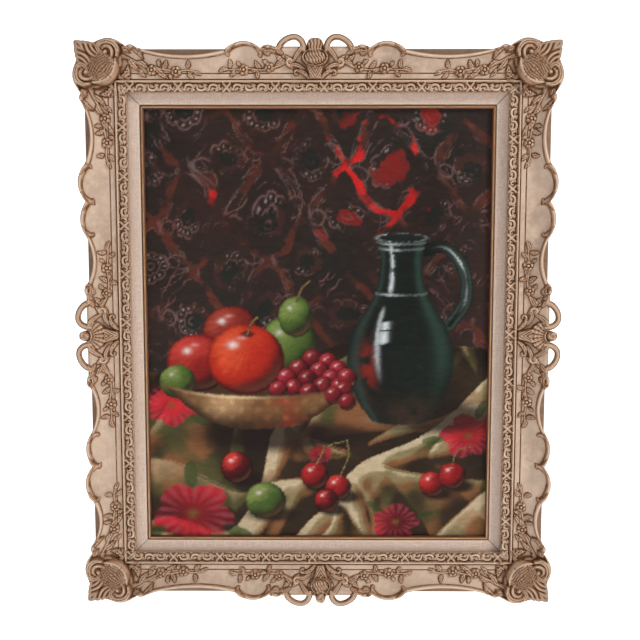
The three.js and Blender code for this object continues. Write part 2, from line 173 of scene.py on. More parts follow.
def add_studio():
    """A pale floor that sweeps up far behind the picture, in soft light from the upper right."""
    world = bpy.data.worlds.new("studio")
    world.use_nodes = True
    background = world.node_tree.nodes["Background"]
    background.inputs["Color"].default_value = (1, 0.985, 0.97, 1)
    background.inputs["Strength"].default_value = 0.31
    bpy.context.scene.world = world
    add_light("key", (1.9, -1.25, 1.35), 0.7, 50, (1, 0.97, 0.93))
    add_light("fill", (-1.6, -2.0, 0.1), 1.8, 7)

    front, floor, bend, back, high, half, steps = -4.0, -0.95, 1.4, 3.6, 3.2, 5.0, 12
    profile = [(front, floor), (back - bend, floor)]
    for step in range(1, steps + 1):
        angle = step / steps * math.pi / 2
        profile.append((back - bend + bend * math.sin(angle), floor + bend - bend * math.cos(angle)))
    profile.append((back, high))
    points = [(x, y, z) for y, z in profile for x in (-half, half)]
    faces = [(2 * i, 2 * i + 1, 2 * i + 3, 2 * i + 2) for i in range(len(profile) - 1)]
    mesh = bpy.data.meshes.new("floor")
    mesh.from_pydata(points, [], faces)
    mesh.shade_smooth()
    sweep = bpy.data.objects.new("floor", mesh)
    bpy.context.scene.collection.objects.link(sweep)
    pale = bpy.data.materials.new("pale_floor")
    pale.use_nodes = True
    shader = pale.node_tree.nodes["Principled BSDF"]
    shader.inputs["Base Color"].default_value = (0.9, 0.9, 0.9, 1)
    shader.inputs["Roughness"].default_value = 0.9
    shader.inputs["Emission Color"].default_value = (1, 1, 1, 1)
    shader.inputs["Emission Strength"].default_value = 0.7
    mesh.materials.append(pale)
    bpy.context.scene.view_settings.view_transform = "Standard"


# Node materials


class Finish:
    """A material whose nodes are added one by one."""

    def __init__(self, name):
        self.material = bpy.data.materials.new(name)
        self.material.use_nodes = True
        self.tree = self.material.node_tree
        self.shader = self.tree.nodes["Principled BSDF"]
        self.place = self.node("ShaderNodeTexCoord").outputs["Object"]

    def node(self, kind, inputs=None, **settings):
        made = self.tree.nodes.new(kind)
        for name, value in settings.items():
            setattr(made, name, value)
        for name, value in (inputs or {}).items():
            self.feed(made.inputs[name], value)
        return made

    def feed(self, socket, value):
        if isinstance(value, bpy.types.NodeSocket):
            self.tree.links.new(value, socket)
        else:
            socket.default_value = value

    def noise(self, scale, detail=3.0, rough=0.55, stretch=None):
        place = self.place
        if stretch:
            place = self.node("ShaderNodeMapping", {"Vector": place, "Scale": stretch}).outputs[0]
        settings = {"Vector": place, "Scale": scale, "Detail": detail, "Roughness": rough}
        return self.node("ShaderNodeTexNoise", settings).outputs["Fac"]

    def value(self, name):
        """A value that the mesh keeps at each point."""
        return self.node("ShaderNodeAttribute", attribute_name=name).outputs["Fac"]

    def tint(self, name):
        """A colour that the mesh keeps at each point."""
        return self.node("ShaderNodeAttribute", attribute_name=name).outputs["Color"]

    def span(self, value, low, high, to_low=0.0, to_high=1.0):
        settings = {"Value": value, "From Min": low, "From Max": high, "To Min": to_low, "To Max": to_high}
        return self.node("ShaderNodeMapRange", settings).outputs["Result"]

    def math(self, operation, first, second=0.0):
        made = self.node("ShaderNodeMath", operation=operation)
        self.feed(made.inputs[0], first)
        self.feed(made.inputs[1], second)
        return made.outputs[0]

    def times(self, name, share):
        """A value of the mesh, thinned by a share."""
        return self.math("MULTIPLY", self.value(name), share)

    def mix(self, share, first, second):
        made = self.node("ShaderNodeMix", data_type="RGBA")
        self.feed(made.inputs[0], share)
        for socket, color in zip(made.inputs[6:8], (first, second)):
            self.feed(socket, (*color, 1) if isinstance(color, tuple) else color)
        return made.outputs[2]

    def coats(self, color, *coats):
        """Colours laid over a ground one after the other, each by its share."""
        for share, coat in coats:
            color = self.mix(share, color, coat)
        return color

    def weave(self, scale, distortion):
        """Crossing threads, the higher of two sets of waves."""
        waves = []
        settings = {"Vector": self.place, "Scale": scale, "Distortion": distortion, "Detail": 1.0}
        for direction in ("X", "Z"):
            waves.append(self.node("ShaderNodeTexWave", settings, bands_direction=direction).outputs["Fac"])
        return self.math("MAXIMUM", *waves)

    def bump(self, height, depth, before=None):
        inputs = {"Height": height, "Distance": depth}
        if before is not None:
            inputs["Normal"] = before
        return self.node("ShaderNodeBump", inputs).outputs["Normal"]

    def finish(self, color, roughness, normal, **fixed):
        self.feed(self.shader.inputs["Base Color"], color)
        self.feed(self.shader.inputs["Roughness"], roughness)
        self.feed(self.shader.inputs["Normal"], normal)
        for name, value in fixed.items():
            self.shader.inputs[name.replace("_", " ")].default_value = value
        return self.material


def grain_stretch(direction):
    """How much a wood's grain is drawn out along each axis."""
    return (0.06, 1, 1) if direction == "x" else (1, 1, 0.06)


def antique_cream(direction):
    """Cream paint over gesso, brown patina, bronze rubbed through on the carving, painted highlight and
    shade, bare wood behind.
    """
    look = Finish(f"antique_cream_{direction}")
    cloudy, mottle, grit = look.noise(14, 4), look.noise(120, 4, 0.65), look.noise(700, 3, 0.7)
    fibres = look.noise(500, 3, 0.6, grain_stretch(direction))
    wood = look.coats(
        (0.42, 0.27, 0.15),
        (look.span(fibres, 0.35, 0.7), (0.25, 0.145, 0.075)),
        (look.span(cloudy, 0.4, 0.75, 0, 0.5), (0.20, 0.135, 0.09)),
    )
    grains, patches = look.span(grit, 0.25, 0.75, 0.8, 1.2), look.span(mottle, 0.36, 0.58, 0.5, 1.15)
    # patina in the carving's recesses, and painted shade on the back side of the open loops
    patina_and_shade = look.times("patina_and_shade", look.math("MULTIPLY", grains, patches))
    cream = look.coats(
        (0.565, 0.420, 0.322),
        (look.span(cloudy, 0.35, 0.7), (0.43, 0.305, 0.222)),
        (look.span(mottle, 0.42, 0.72), (0.62, 0.475, 0.370)),
        (look.span(grit, 0.6, 0.74, 0, 0.5), (0.30, 0.18, 0.11)),
        (look.times("aged", look.span(cloudy, 0.3, 0.7, 0.6, 1)), (0.245, 0.165, 0.120)),
        (look.times("strip", look.span(mottle, 0.3, 0.7, 0.7, 1)), (0.215, 0.122, 0.073)),
        (look.times("worn", look.span(mottle, 0.38, 0.62, 0.45, 1)), (0.325, 0.168, 0.086)),
        # painted highlight: the tops of the carving and of the loops are lightened
        (look.times("raised", look.span(mottle, 0.3, 0.6, 0.5, 1)), (0.80, 0.62, 0.47)),
        (look.span(patina_and_shade, 0.0, 0.5, 0, 0.85), (0.29, 0.145, 0.068)),
        (look.span(patina_and_shade, 0.4, 0.9, 0, 0.9), (0.110, 0.043, 0.016)),
        (look.value("bare"), wood),
    )
    rough = look.span(mottle, 0.3, 0.7, 0.46, 0.64)
    skin = look.bump(look.noise(1500, 3), 0.00006)
    return look.finish(cream, rough, look.bump(mottle, 0.00018, skin), Specular_IOR_Level=0.3)


# The carved rails


def stretches(rail, side):
    """The arcs of one half's edge, out from the rail's middle: start, end, level, end level and bulge."""
    length = rail["half"] + BASE - side * rail["middle"]
    marks = [(end if end > 0 else length + end, *rest) for end, *rest in MIDDLE_EDGE + rail["edge"]]
    marks += [(length + end, *rest) for end, *rest in CORNER_EDGE]
    start, level = 0.0, MIDDLE_EDGE[0][1]
    made = []
    for end, end_level, bulge in marks:
        made.append((start, end, level, end_level, bulge))
        start, level = end, end_level
    return made


def edge_out(rail, u):
    """How far the carved edge stands outside the straight base at each u."""
    out = np.zeros_like(u)
    for side in (-1, 1):
        r = side * (u - rail["middle"])
        for start, end, level, end_level, bulge in stretches(rail, side):
            t = np.clip((r - start) / (end - start), 0, 1)
            arc = level + (end_level - level) * t + bulge * 4 * t * (1 - t)
            out = np.where(r >= start, arc, out)
    half, reach = rail["knob"]
    across = np.abs(u - rail["middle"]) / half
    knob = reach * np.clip(1 - across**2.4, 0, 1) ** 0.5
    return np.where(across < 1, np.maximum(out, knob), out)


def rounded(x):
    """A half round from -1 to 1, and nothing outside."""
    return np.sqrt(np.clip(1 - x * x, 0, 1))


def smooth(x, low, high):
    t = np.clip((x - low) / (high - low), 0, 1)
    return t * t * (3 - 2 * t)


def blurred(field, reach):
    """The mean over a square of 2 reach + 1 cells, run twice."""
    for _ in range(2):
        for axis in (0, 1):
            size = field.shape[axis]
            padding = [(0, 0), (0, 0)]
            padding[axis] = (reach + 1, reach)
            total = np.cumsum(np.pad(field, padding, mode="edge"), axis=axis)
            ahead = np.take(total, np.arange(2 * reach + 1, size + 2 * reach + 1), axis=axis)
            behind = np.take(total, np.arange(0, size), axis=axis)
            field = (ahead - behind) / (2 * reach + 1)
    return field


def curve(points, steps):
    """A smooth path through the points."""
    points = np.array(points, float)
    ends = np.vstack([2 * points[0] - points[1], points, 2 * points[-1] - points[-2]])
    t = np.linspace(0, 1, steps, endpoint=False)[:, None]
    parts = []
    for a, b, c, d in zip(ends, ends[1:], ends[2:], ends[3:]):
        bend, twist = 2 * a - 5 * b + 4 * c - d, 3 * b - a - 3 * c + d
        parts.append(0.5 * (2 * b + (c - a) * t + bend * t**2 + twist * t**3))
    return np.vstack([*parts, points[-1:]])


class Carving:
    """The front of one rail as heights over a grid whose ends lie on the two mitres."""

    def __init__(self, rail):
        self.rail = rail
        self.half = rail["half"]
        self.corner = self.half + BASE
        columns = int(2 * self.corner / GRID) + 1
        self.t = np.linspace(-1, 1, columns)
        edge = np.full(columns, BASE)
        for _ in range(8):  # each round brings the edge nearer to where its own column meets it
            edge = BASE + edge_out(rail, self.t * (self.half + edge))
        self.edge = edge
        inner = np.linspace(BAND_INNER, COVE, int((COVE - BAND_INNER) / GRID * INNER_DENSITY))
        share = np.linspace(0, 1, int((BASE - COVE) / GRID * OUTER_DENSITY))[1:, None]
        outer = COVE + (edge - COVE) * share
        self.v = np.vstack([np.repeat(inner[:, None], columns, axis=1), outer])
        self.u = self.t * (self.half + self.v - MITRE)
        self.face = self.plain_face()
        self.relief = np.zeros_like(self.face)

    def plain_face(self):
        """The moulding and the swept cove and lip, without their ornament."""
        v = self.v
        face = BAND_BED + 0.7 * (1 - smooth(v, 20.5, 24.5))
        face = np.where(v > BAND_OUTER, GROOVE_BED, face)
        face = np.maximum(face, BAND_BED + (BEAD_TOP - BAND_BED) * rounded((v - BEAD) / 1.6))
        line = 0.9 * rounded((v - STEP_INNER) / 0.7)
        face = np.where(v > STEP_INNER - 0.5, STEP_TOP - line, face)
        face = face - 0.8 * rounded((v - STEP_OUTER - 0.4) / 0.8) * (v > STEP_OUTER - 1)
        root = self.edge - LIP
        t = np.clip((v - COVE) / (root - COVE), 0, 1)
        face = np.where(v > COVE, STEP_TOP + (LIP_ROOT - STEP_TOP) * t**2.1, face)
        r = np.abs(self.u - self.rail["middle"])
        stands = 0.25 + 0.75 * smooth(r, 38, 50)  # the lip is low where the open loops take its place
        lip = LIP_ROOT - 0.3 + (LIP_TOP - LIP_ROOT + 0.3) * stands * rounded((v - (self.edge - 2.1)) / 2.3)
        return np.where(v > root - 0.3, np.maximum(face, lip), face)

    def add(self, points, reach, shape, absolute=False):
        """Raises the relief to shape(u, v) round the points, over the face or, if absolute, from the wall."""
        u = [p[0] for p in points]
        low, high = min(u) - reach, max(u) + reach
        inner, outer = self.half + BAND_INNER, self.corner + FARTHEST
        first, last = min(low / inner, low / outer), max(high / inner, high / outer)
        here = slice(*np.searchsorted(self.t, [first, last]))
        made = shape(self.u[:, here], self.v[:, here])
        if absolute:
            made = made - self.face[:, here]
        np.maximum(self.relief[:, here], made, out=self.relief[:, here])

    def heights(self):
        return np.minimum(self.face + self.relief, HIGHEST)


def along_path(path, u, v):
    """How far each point is from a path, and how far along the path from 0 to 1 that is."""
    best = np.full(u.shape, np.inf)
    place = np.zeros(u.shape)
    runs = np.hypot(*np.diff(path, axis=0).T)
    total = runs.sum()
    gone = 0.0
    for (a, b), (c, d), run in zip(path, path[1:], runs):
        s = np.clip(((u - a) * (c - a) + (v - b) * (d - b)) / max(run * run, 1e-9), 0, 1)
        distance = np.hypot(u - a - s * (c - a), v - b - s * (d - b))
        nearer = distance < best
        best = np.where(nearer, distance, best)
        place = np.where(nearer, (gone + s * run) / total, place)
        gone += run
    return best, place


def stroke(carving, points, widths, height, groove=0.0, absolute=None, steps=6):
    """A rounded ridge along a smooth path. groove splits it, and absolute is its foot's height."""
    path = curve(points, steps)
    marks = np.linspace(0, 1, len(widths))

    def shape(u, v):
        distance, place = along_path(path, u, v)
        width = np.interp(place, marks, widths)
        section = rounded(distance / width)
        rise = height * (width / max(widths)) ** 0.7 * section**0.8
        rise = rise - groove * np.exp(-((distance / (0.22 * width)) ** 2))
        return np.where(section > 0, (absolute or 0) + rise, 0)

    carving.add(points, max(widths), shape, absolute is not None)


def leaf(carving, root, tip, width, height, bend, lobes):
    """A veined leaf from its root to its tip, bent sideways by a share of its length."""
    (a, b), (c, d) = root, tip
    long = math.hypot(c - a, d - b)
    along, across = ((c - a) / long, (d - b) / long), (-(d - b) / long, (c - a) / long)

    def shape(u, v):
        s = ((u - a) * along[0] + (v - b) * along[1]) / long
        q = (u - a) * across[0] + (v - b) * across[1]
        q = q - bend * long * 4 * s * (1 - s)
        inside = (s > 0) & (s < 1)
        s = np.clip(s, 0, 1)
        outline = width * np.sin(np.pi * s**0.8) ** 0.75 * (1 + 0.16 * np.cos(2 * np.pi * lobes * s))
        x = np.abs(q) / np.maximum(outline, 0.05)
        rise = height * rounded(x) ** 0.8 * (0.7 + 0.3 * np.sin(np.pi * s))
        vein = 0.34 * np.exp(-((q / 0.45) ** 2))
        side_veins = 0.15 * (0.5 + 0.5 * np.cos(2 * np.pi * (lobes * 1.5 * s - 0.9 * x)))
        return np.where(inside & (x < 1), rise * (1 - vein - side_veins), 0)

    carving.add([root, tip], width + 1, shape)


def rosette(carving, centre, radius, height, turn):
    """A small open rose: five cupped petals round a button."""
    petals = 5

    def shape(u, v):
        r = np.hypot(u - centre[0], v - centre[1])
        angle = np.arctan2(v - centre[1], u - centre[0]) - turn
        swing = np.abs(np.cos(petals / 2 * angle))
        outline = radius * (0.74 + 0.26 * swing**0.6)
        x = r / outline
        cup = height * rounded(x) ** 0.7 * (0.62 + 0.38 * np.sin(np.pi * np.clip(x, 0, 1)) ** 0.8)
        cup = cup * (1 - 0.5 * np.exp(-((swing / 0.22) ** 2)) * smooth(x, 0.25, 0.6))
        ring = 1 - 0.6 * np.exp(-(((r - 0.36 * radius) / 0.55) ** 2))
        button = height * 0.95 * rounded(r / (0.27 * radius)) ** 0.7
        return np.where(x < 1, np.maximum(cup * ring, button), 0)

    carving.add([centre], radius, shape)


def dot(carving, centre, radius, height, absolute):
    """A small dome whose foot is at an absolute height."""
    def shape(u, v):
        x = np.hypot(u - centre[0], v - centre[1]) / radius
        return np.where(x < 1, absolute + height * rounded(x), 0)

    carving.add([centre], radius, shape, True)


def volute(centre, radius, start, turns, hand, steps=14):
    """A spiral's points, from its outside to its eye. start is an angle in degrees."""
    points = []
    for i in range(steps + 1):
        share = i / steps
        angle = math.radians(start) + hand * share * turns * 2 * math.pi
        r = radius * (1 - share) ** 0.8 + 0.1
        points.append((centre[0] + r * math.cos(angle), centre[1] + r * math.sin(angle)))
    return points


def oval_shell(carving, middle, along):
    """A domed oval in a raised rim, covered with slanting strokes that bend along its sides."""
    across, low, tall = 9.8, 34.6, 7.4
    centre = (middle, BASE - 0.6 - across)

    def shape(u, v):
        x, y = u - centre[0], v - centre[1]
        r = np.hypot(x / along, y / across)
        dome = low + tall * 0.8 * rounded(r * 0.93) ** 0.9
        slant = x * 0.9 + y * 0.55 * np.cos(x / along * 1.6) + 0.5 * np.sin(y * 0.9)
        marks = np.abs(np.cos(math.pi * slant / 3.1)) ** 0.7 - 0.6
        rows = 0.75 + 0.25 * np.cos(y * 1.15 - x * 0.3)
        dome = dome + 2.3 * marks * rows * (1 - smooth(r, 0.78, 0.86))
        rim = low + tall * 0.62 + 1.6 * rounded((r - 0.935) / 0.075)
        groove = 1.5 * np.exp(-(((r - 0.86) / 0.04) ** 2))
        return np.where(r < 1, np.where(r > 0.87, rim, dome - groove), 0)

    carving.add([centre], along, shape, True)


def scallop(carving, middle):
    """A round scallop shell whose ribs fan out from the knob, crossed by growth lines."""
    hinge, reach, spread = 66.5, 21.5, 1.3
    low = 31.6 if carving.rail["oval"] else 33.6

    def shape(u, v):
        x, y = u - middle, hinge - v
        far, angle = np.hypot(x, y), np.arctan2(x, y)
        turn = np.abs(angle) / spread
        ribs = np.abs(np.cos(angle * 11)) ** 0.7
        outline = reach * (1 - 0.2 * turn**2) * (0.93 + 0.07 * ribs)
        share = far / outline
        dome = low + 4.4 * rounded(share * 0.96) ** 0.8
        dome = dome + (1.7 * ribs + 0.35 * np.cos(far * 1.5)) * smooth(far, 4, 9)
        return np.where((share < 1) & (turn < 1) & (y > 0), dome, 0)

    carving.add([(middle, BASE)], 26, shape, True)


def fan_knob(carving, middle):
    """A small fan of wavy flutes that stands out over the shell."""
    half, reach = carving.rail["knob"]

    def shape(u, v):
        x, y = u - middle, v - (BASE - 2)
        width = half * (0.72 + 0.28 * smooth(y, 0, 8))
        across = np.abs(x) / width
        top = 1 - np.clip(y / (reach + 2), 0, 1) ** 4
        waves = np.cos(x * (2.05 - 0.06 * y) + 0.7 * np.sin(y * 0.8))
        body = 37.4 + 3.6 * rounded(across * 0.95) ** 0.6 * top**0.5 + 0.8 * waves
        return np.where((across < 1) & (y > -2), body, 0)

    carving.add([(middle, BASE)], 12, shape, True)


def ball_knob(carving, middle):
    """A round knob with a swirl on it, in a raised collar."""
    half, reach = carving.rail["knob"]
    centre = BASE + reach - half

    def shape(u, v):
        x, y = u - middle, v - centre
        r = np.hypot(x, y) / half
        swirl = np.abs(np.cos(1.5 * np.arctan2(y, x) + r * 3.2)) ** 0.7
        ball = 35.8 + 5.6 * rounded(r * 0.98) ** 0.9 + 1.6 * swirl * smooth(r, 0.15, 0.4)
        collar = 38.4 + 2.2 * rounded((r - 1.32) / 0.22)
        around = (r > 1.1) & (r < 1.54) & (y < 1.5)
        return np.where(r < 1, ball, np.where(around, collar, 0))

    carving.add([(middle, BASE)], 12, shape, True)


def palmette(carving, middle):
    """Nested flutes in a V that narrows towards the bead, with a small eye between them."""
    foot, top = 31.6, 46.4
    narrow, flare = (6.0, 3.6) if carving.rail["fan"] else (4.3, 3.4)

    def shape(u, v):
        x, t = np.abs(u - middle), (v - foot) / (top - foot)
        half = narrow + flare * np.clip(t, 0, 1) ** 1.3
        across = x / half
        body = 32.2 + 3.4 * np.clip(t, 0, 1) + 1.8 * rounded(across) ** 0.6
        flutes = 1.6 * np.abs(np.cos(np.pi * (v - foot - x / 0.6 + 2.2) / 4.6)) ** 0.6 - 0.7
        return np.where((across < 1) & (t > 0) & (t < 1.05), body + flutes, 0)

    carving.add([(middle, 38)], 12, shape, True)
    dot(carving, (middle, 43.8), 1.8, 2.4, 36.6)


def strokes(carving, at, rows):
    """Ridges by their points, their widths, the height, and what else stroke takes."""
    for points, *form in rows:
        stroke(carving, [at(*point) for point in points], *form)


def leaves(carving, at, side, rows):
    """Leaves by root, tip, width, height, bend and number of lobes."""
    for root, tip, width, height, bend, lobes in rows:
        leaf(carving, at(*root), at(*tip), width, height, bend * side, lobes)


def middle_ornament(carving):
    """The shell with its knob outside, the palmette inside, and leaf scrolls at both sides."""
    rail = carving.rail
    middle, shift = rail["middle"], rail["loop_shift"]
    if rail["oval"]:
        oval_shell(carving, middle, rail["oval"])
    if rail["fan"]:
        fan_knob(carving, middle)
    else:
        scallop(carving, middle)
        ball_knob(carving, middle)
    palmette(carving, middle)

    scrolls = [
        # from the palmette's foot, and beside the shell
        ([(7.2, 32.4), (10.5, 36.4), (15, 39.6), (20, 40.8)], [1.6, 2.5, 2.4, 1.5], 4.2, 1.0),
        ([(12.4, 42.4), (17, 45), (22, 46.8), (27, 46.2)], [1.4, 2.3, 2.4, 1.7], 4.0, 1.0),
        # the loop's branch over the face, and where its outer end rolls in
        ([(12.4 + shift / 2, 66), (16.4, 61.4), (21, 56), (24.4, 50.6)], [3.0, 2.6, 2.2, 1.4], 3.4, 0.9),
        (
            [(36 + shift, 68), (40.4 + shift, 64.6), (40.6 + shift, 60.6), (36.6 + shift, 58.4)],
            [2.4, 3.0, 2.6, 1.5],
            3.6,
            0.9,
        ),
    ]
    # where each scroll rolls up: its eye, radius, start, turns, hand, widths and height
    curls = [
        ((20.6, 37.8), 2.9, 90, 0.8, -1, [1.5, 1.3, 0.9], 3.6),
        ((27.8, 49.6), 4.0, -100, 1.1, 1, [2.0, 1.6, 1.1], 4.0),
        ((57 + shift / 2, 62.6), 3.0, 60, 0.9, -1, [1.5, 1.3, 0.9], 3.4),
    ]
    sprigs = [
        ((14, 40.4), (19.5, 46), 2.1, 3.2, 0.15, 2),
        ((24, 51), (33, 57), 2.7, 3.6, -0.18, 3),
        ((29.5, 49), (24.5, 42.6), 2.1, 3.2, 0.1, 2),
        ((41 + shift, 62), (50 + shift, 64.6), 2.9, 3.2, -0.2, 3),
        ((48 + shift, 62), (58.5 + shift, 61.4), 3.2, 3.4, -0.22, 3),
    ]
    for side in (-1, 1):

        def at(r, v):
            return middle + side * r, v

        strokes(carving, at, scrolls)
        for eye, radius, start, turns, hand, widths, height in curls:
            stroke(carving, volute(at(*eye), radius, start, turns, hand * side), widths, height)
        leaves(carving, at, side, sprigs)
        middle_spray(carving, at, side)


def middle_spray(carving, at, side):
    """Leaves and two roses along a thin stem. The two sides are alike, not equal."""
    shift, drop, bloom = (0, 0, 1) if side > 0 else (2.6, -1.6, 2)
    stem = [(31, 50.4), (40, 45.6), (48, 43.2), (60, 41.4), (76, 43), (90, 41.6), (100, 41.6)]
    sprigs = [
        ((33, 51.4), (42 + shift, 44.6), 2.5, 3.7, 0.1, 3),
        ((36, 52), (43.4, 57), 2.3, 3.2, -0.1, 2),
        ((53, 47), (59, 51.6), 2.0, 3.0, 0.1, 2),
        ((60.6 + shift, 40.6), (58.4 + 2 * shift, 31.4), 2.5, 3.4, 0.12, 3),
        ((60.4, 43), (66.8, 51.4), 2.5, 3.6, -0.12, 3),
        ((64, 41), (71.4, 40.6), 2.1, 3.0, 0, 2),
        ((83.6, 45.6), (87.4, 50.6), 1.9, 2.8, 0, 2),
        ((95, 43.4), (95.4, 52.8), 2.4, 3.4, 0.1, 3),
        ((90, 41.4), (94.8, 33.8), 2.3, 3.2, -0.1, 3),
        ((97.6, 42.8), (107.6, 39), 2.3, 3.2, 0.08, 3),
    ]
    strokes(carving, at, [(stem, [1.1, 1.0, 0.9, 0.8], 2.2, 0.0)])
    leaves(carving, at, side, sprigs)
    rosette(carving, at(48.6 + shift, 44), 5.6, 4.4, 0.4 * bloom)
    rosette(carving, at(77 + shift, 43 + drop), 6.1, 4.5, 0.9 * bloom)


def edge_hooks(carving):
    """Where two swept stretches meet, the lobe's lip rolls inwards over the face."""
    rail = carving.rail
    lobes = [(61, 97)] if rail["edge"] is SHORT_EDGE else [(115, 151), (153, 191)]
    for side in (-1, 1):
        for ends in lobes:
            for r, inward in zip(ends, (1, -1)):
                marks = (r + 8 * inward, r + 3 * inward, r, r - 0.5 * inward, r + 1.5 * inward)
                depth = (2.1, 2.4, 4.4, 7.2, 9.6)
                path = []
                for mark, down in zip(marks, depth):
                    u = rail["middle"] + side * mark
                    path.append((u, BASE + float(edge_out(rail, np.array([u]))[0]) - down))
                stroke(carving, path, [1.2, 1.9, 2.3, 1.9, 0.9], 3.4, 0.5)


def corner_ornament(carving, side):
    """Half of a corner: the fluted leaf, the dome between its two scrolls, and the spray that leaves it."""
    corner = carving.corner

    def at(p, q):
        return side * (corner - p), BASE - q

    def back(u, v):
        return corner - side * u, BASE - v

    def corner_leaf(u, v):
        p, q = back(u, v)
        x, y = (15 - (p + q) / 2) * math.sqrt(2), (p - q) / math.sqrt(2)
        bow = np.abs(y) / (1 + 0.022 * np.clip(x, 0, 40)) + 1.5 * np.sin(x * 0.2 - 0.6)
        flutes = np.abs(np.cos(bow * 0.8))
        body = 36.2 + 3.6 * flutes**0.6 + 1.4 * rounded((x - 14) / 20)
        ends = np.minimum(smooth(x, -1, 3), 1 - smooth(np.abs(y) - 0.14 * x, 15, 18.5))
        return np.where(ends > 0.01, 33 + (body - 33) * ends, 0)

    carving.add([at(0, 0)], 36, corner_leaf, True)

    def field(u, v):
        p, q = back(u, v)
        r = np.hypot((p + q) / 2 - 22, (p - q) / 2) / 13
        dome = 33.4 + 9.6 * rounded(r * 0.97) ** 0.75
        wave = 0.8 * np.sin(0.4 * p) + 0.8 * np.cos(0.34 * q)
        first = np.abs(np.sin(0.8 * (p + q) + wave))
        second = np.abs(np.sin(0.5 * (p - q) - 1.5 * wave))
        net = np.maximum(1 - smooth(first, 0.1, 0.75), 0.8 - smooth(second, 0.05, 0.5))
        dome = dome - 1.2 * net * (1 - smooth(r, 0.7, 0.95))
        return np.where(r < 1, dome, 0)

    carving.add([at(22, 22)], 24, field, True)

    scroll = [(25, 6), (20.4, 4.4), (18.4, -0.6), (22, -5), (29, -6.6), (36, -4.4), (40, 1.6), (39.4, 9)]
    rib = [(23.6, 1.4), (25.8, -1), (30.6, -1.2), (34, 2.4), (34.2, 8), (31.6, 12)]
    inner = [(41, 8), (40.6, 16), (37.6, 23.4), (40.6, 31), (47, 34)]
    rim = [(37.6, 12), (37.4, 20), (33.6, 28.4), (28.6, 33.4)]
    ridges = [
        ([(22, 0), (30, -1), (35, 5), (33, 10)], [5, 8, 7, 4], 1.2, 0, 37.4, 4),
        (scroll, [1.6, 2.4, 2.9, 3.1, 3.1, 3.0, 2.6, 1.8], 4.0, 1.1, 38.6),
        (rib, [1.4, 2.0, 2.2, 2.1, 1.8, 1.0], 3.6, 0.7, 38.6),
        (inner, [2.0, 2.5, 2.4, 2.2, 1.2], 4.4, 1.1),
        (rim, [1.4, 2.2, 2.2, 2.0], 3.4, 0.8, 37.6),
    ]
    sprigs = [((41, 32), (50, 17.4), 3.6, 4.0, 0.22, 4), ((45, 34), (52.6, 30.6), 2.1, 3.0, 0.1, 2)]
    for flip in (False, True):

        def on(p, q):
            return at(q, p) if flip else at(p, q)

        strokes(carving, on, ridges)
        dot(carving, on(26.8, 4.8), 2.6, 2.6, 39.2)
        leaves(carving, on, -side if flip else side, sprigs)
    corner_spray(carving, at, side)


def corner_spray(carving, at, side):
    """The spray that leaves a corner's scroll along the rail."""
    stem = [(42, 6), (52, 11), (62, 16), (76, 22), (90, 22.4), (103, 24.6), (116, 23.4), (126, 25)]
    sprigs = [
        ((38, 2), (48, 11), 2.8, 3.8, 0.1, 3),
        ((44, -1), (55, 1.5), 3.0, 3.8, 0.12, 3),
        ((51, 9), (63, 23.6), 3.1, 3.9, 0.1, 4),
        ((57, 0.6), (67, 11.6), 3.0, 3.7, -0.14, 3),
        ((61, 14), (72, 21.8), 2.8, 3.6, -0.1, 3),
        ((63, 21.5), (69.8, 30.8), 2.3, 3.2, 0.1, 3),
        ((79.6, 18.6), (95, 33), 2.9, 3.6, 0.06, 4),
        ((88.6, 21.8), (94, 12.6), 2.5, 3.5, 0.1, 3),
        ((84.6, 19.4), (86.2, 12), 2.1, 3.0, -0.1, 2),
        ((95.6, 26.6), (99, 33.8), 2.0, 3.0, 0, 2),
        ((115.8, 21.4), (118, 13.2), 2.4, 3.4, 0.1, 3),
        ((116.6, 25), (123.8, 33), 2.5, 3.4, 0.1, 3),
        ((123, 25), (131.6, 28.8), 2.2, 3.1, -0.06, 3),
    ]
    strokes(carving, at, [(stem, [1.5, 1.2, 1.0, 0.8], 2.3, 0.0)])
    leaves(carving, at, side, sprigs)
    rosette(carving, at(76.4, 23.4), 6.0, 4.5, 0.3)
    rosette(carving, at(103.4, 25), 6.0, 4.5, 1.0)


def sight_band(carving):
    """The band beside the liner: small scrolls with leaves, and a crossed ribbon at every fourth place."""
    reach = carving.half + BAND_OUTER
    unit = 2 * reach / round(2 * reach / 13.6)
    count = round(reach / unit)
    low, high = BAND_INNER + 0.5, BAND_OUTER - 0.5
    centre, rise = (low + high) / 2, BAND_TOP - BAND_BED
    scroll = [(0.6, -2.6), (1.6, 1.6), (5, 3.2), (8.6, 2.2), (9.6, -0.4), (7.6, -1.4)]
    sprigs = [
        ((2, -3.4), (7.4, -0.4), 1.9, rise * 0.9, 0.1, 2),
        ((7.4, -3.8), (13, -2.2), 1.9, rise, 0.1, 2),
        ((9.6, -1), (13.4, 3.8), 2.3, rise, 0.1, 2),
    ]
    for i in range(-count, count):
        start = i * unit
        if i % 4 == 0:
            crossing(carving, start + unit / 2, low, high, rise)
            continue
        side = 1 if start < 0 else -1
        left = start if side > 0 else start + unit
        rising = 1 if i % 2 else -1

        def at(x, y):
            return left + side * x, centre + rising * y

        strokes(carving, at, [(scroll, [1.2, 1.7, 1.6, 0.9], rise, 0.4)])
        leaves(carving, at, side * rising, sprigs)
    for end in (-1, 1):
        root = (end * (carving.half + BAND_INNER - 1), BAND_INNER - 1)
        tip = (end * (carving.half + BAND_OUTER), BAND_OUTER)
        leaf(carving, root, tip, 2.6, rise + 0.4, 0, 3)


def crossing(carving, middle, low, high, rise):
    """Two ribbons that cross between two curls."""
    spread, aside = 3.8, 5.4
    for lean in (-1, 1):
        ribbon = [(middle - lean * spread, low), (middle + lean * spread, high)]
        stroke(carving, ribbon, [1.5, 1.7, 1.5], rise, 0.7)
        eye = (middle + lean * aside, (low + high) / 2)
        stroke(carving, volute(eye, 2.6, 90 * (1 - lean), 0.75, -lean, 8), [1.3, 1.1, 0.8], rise)


# Mesh from rows of points


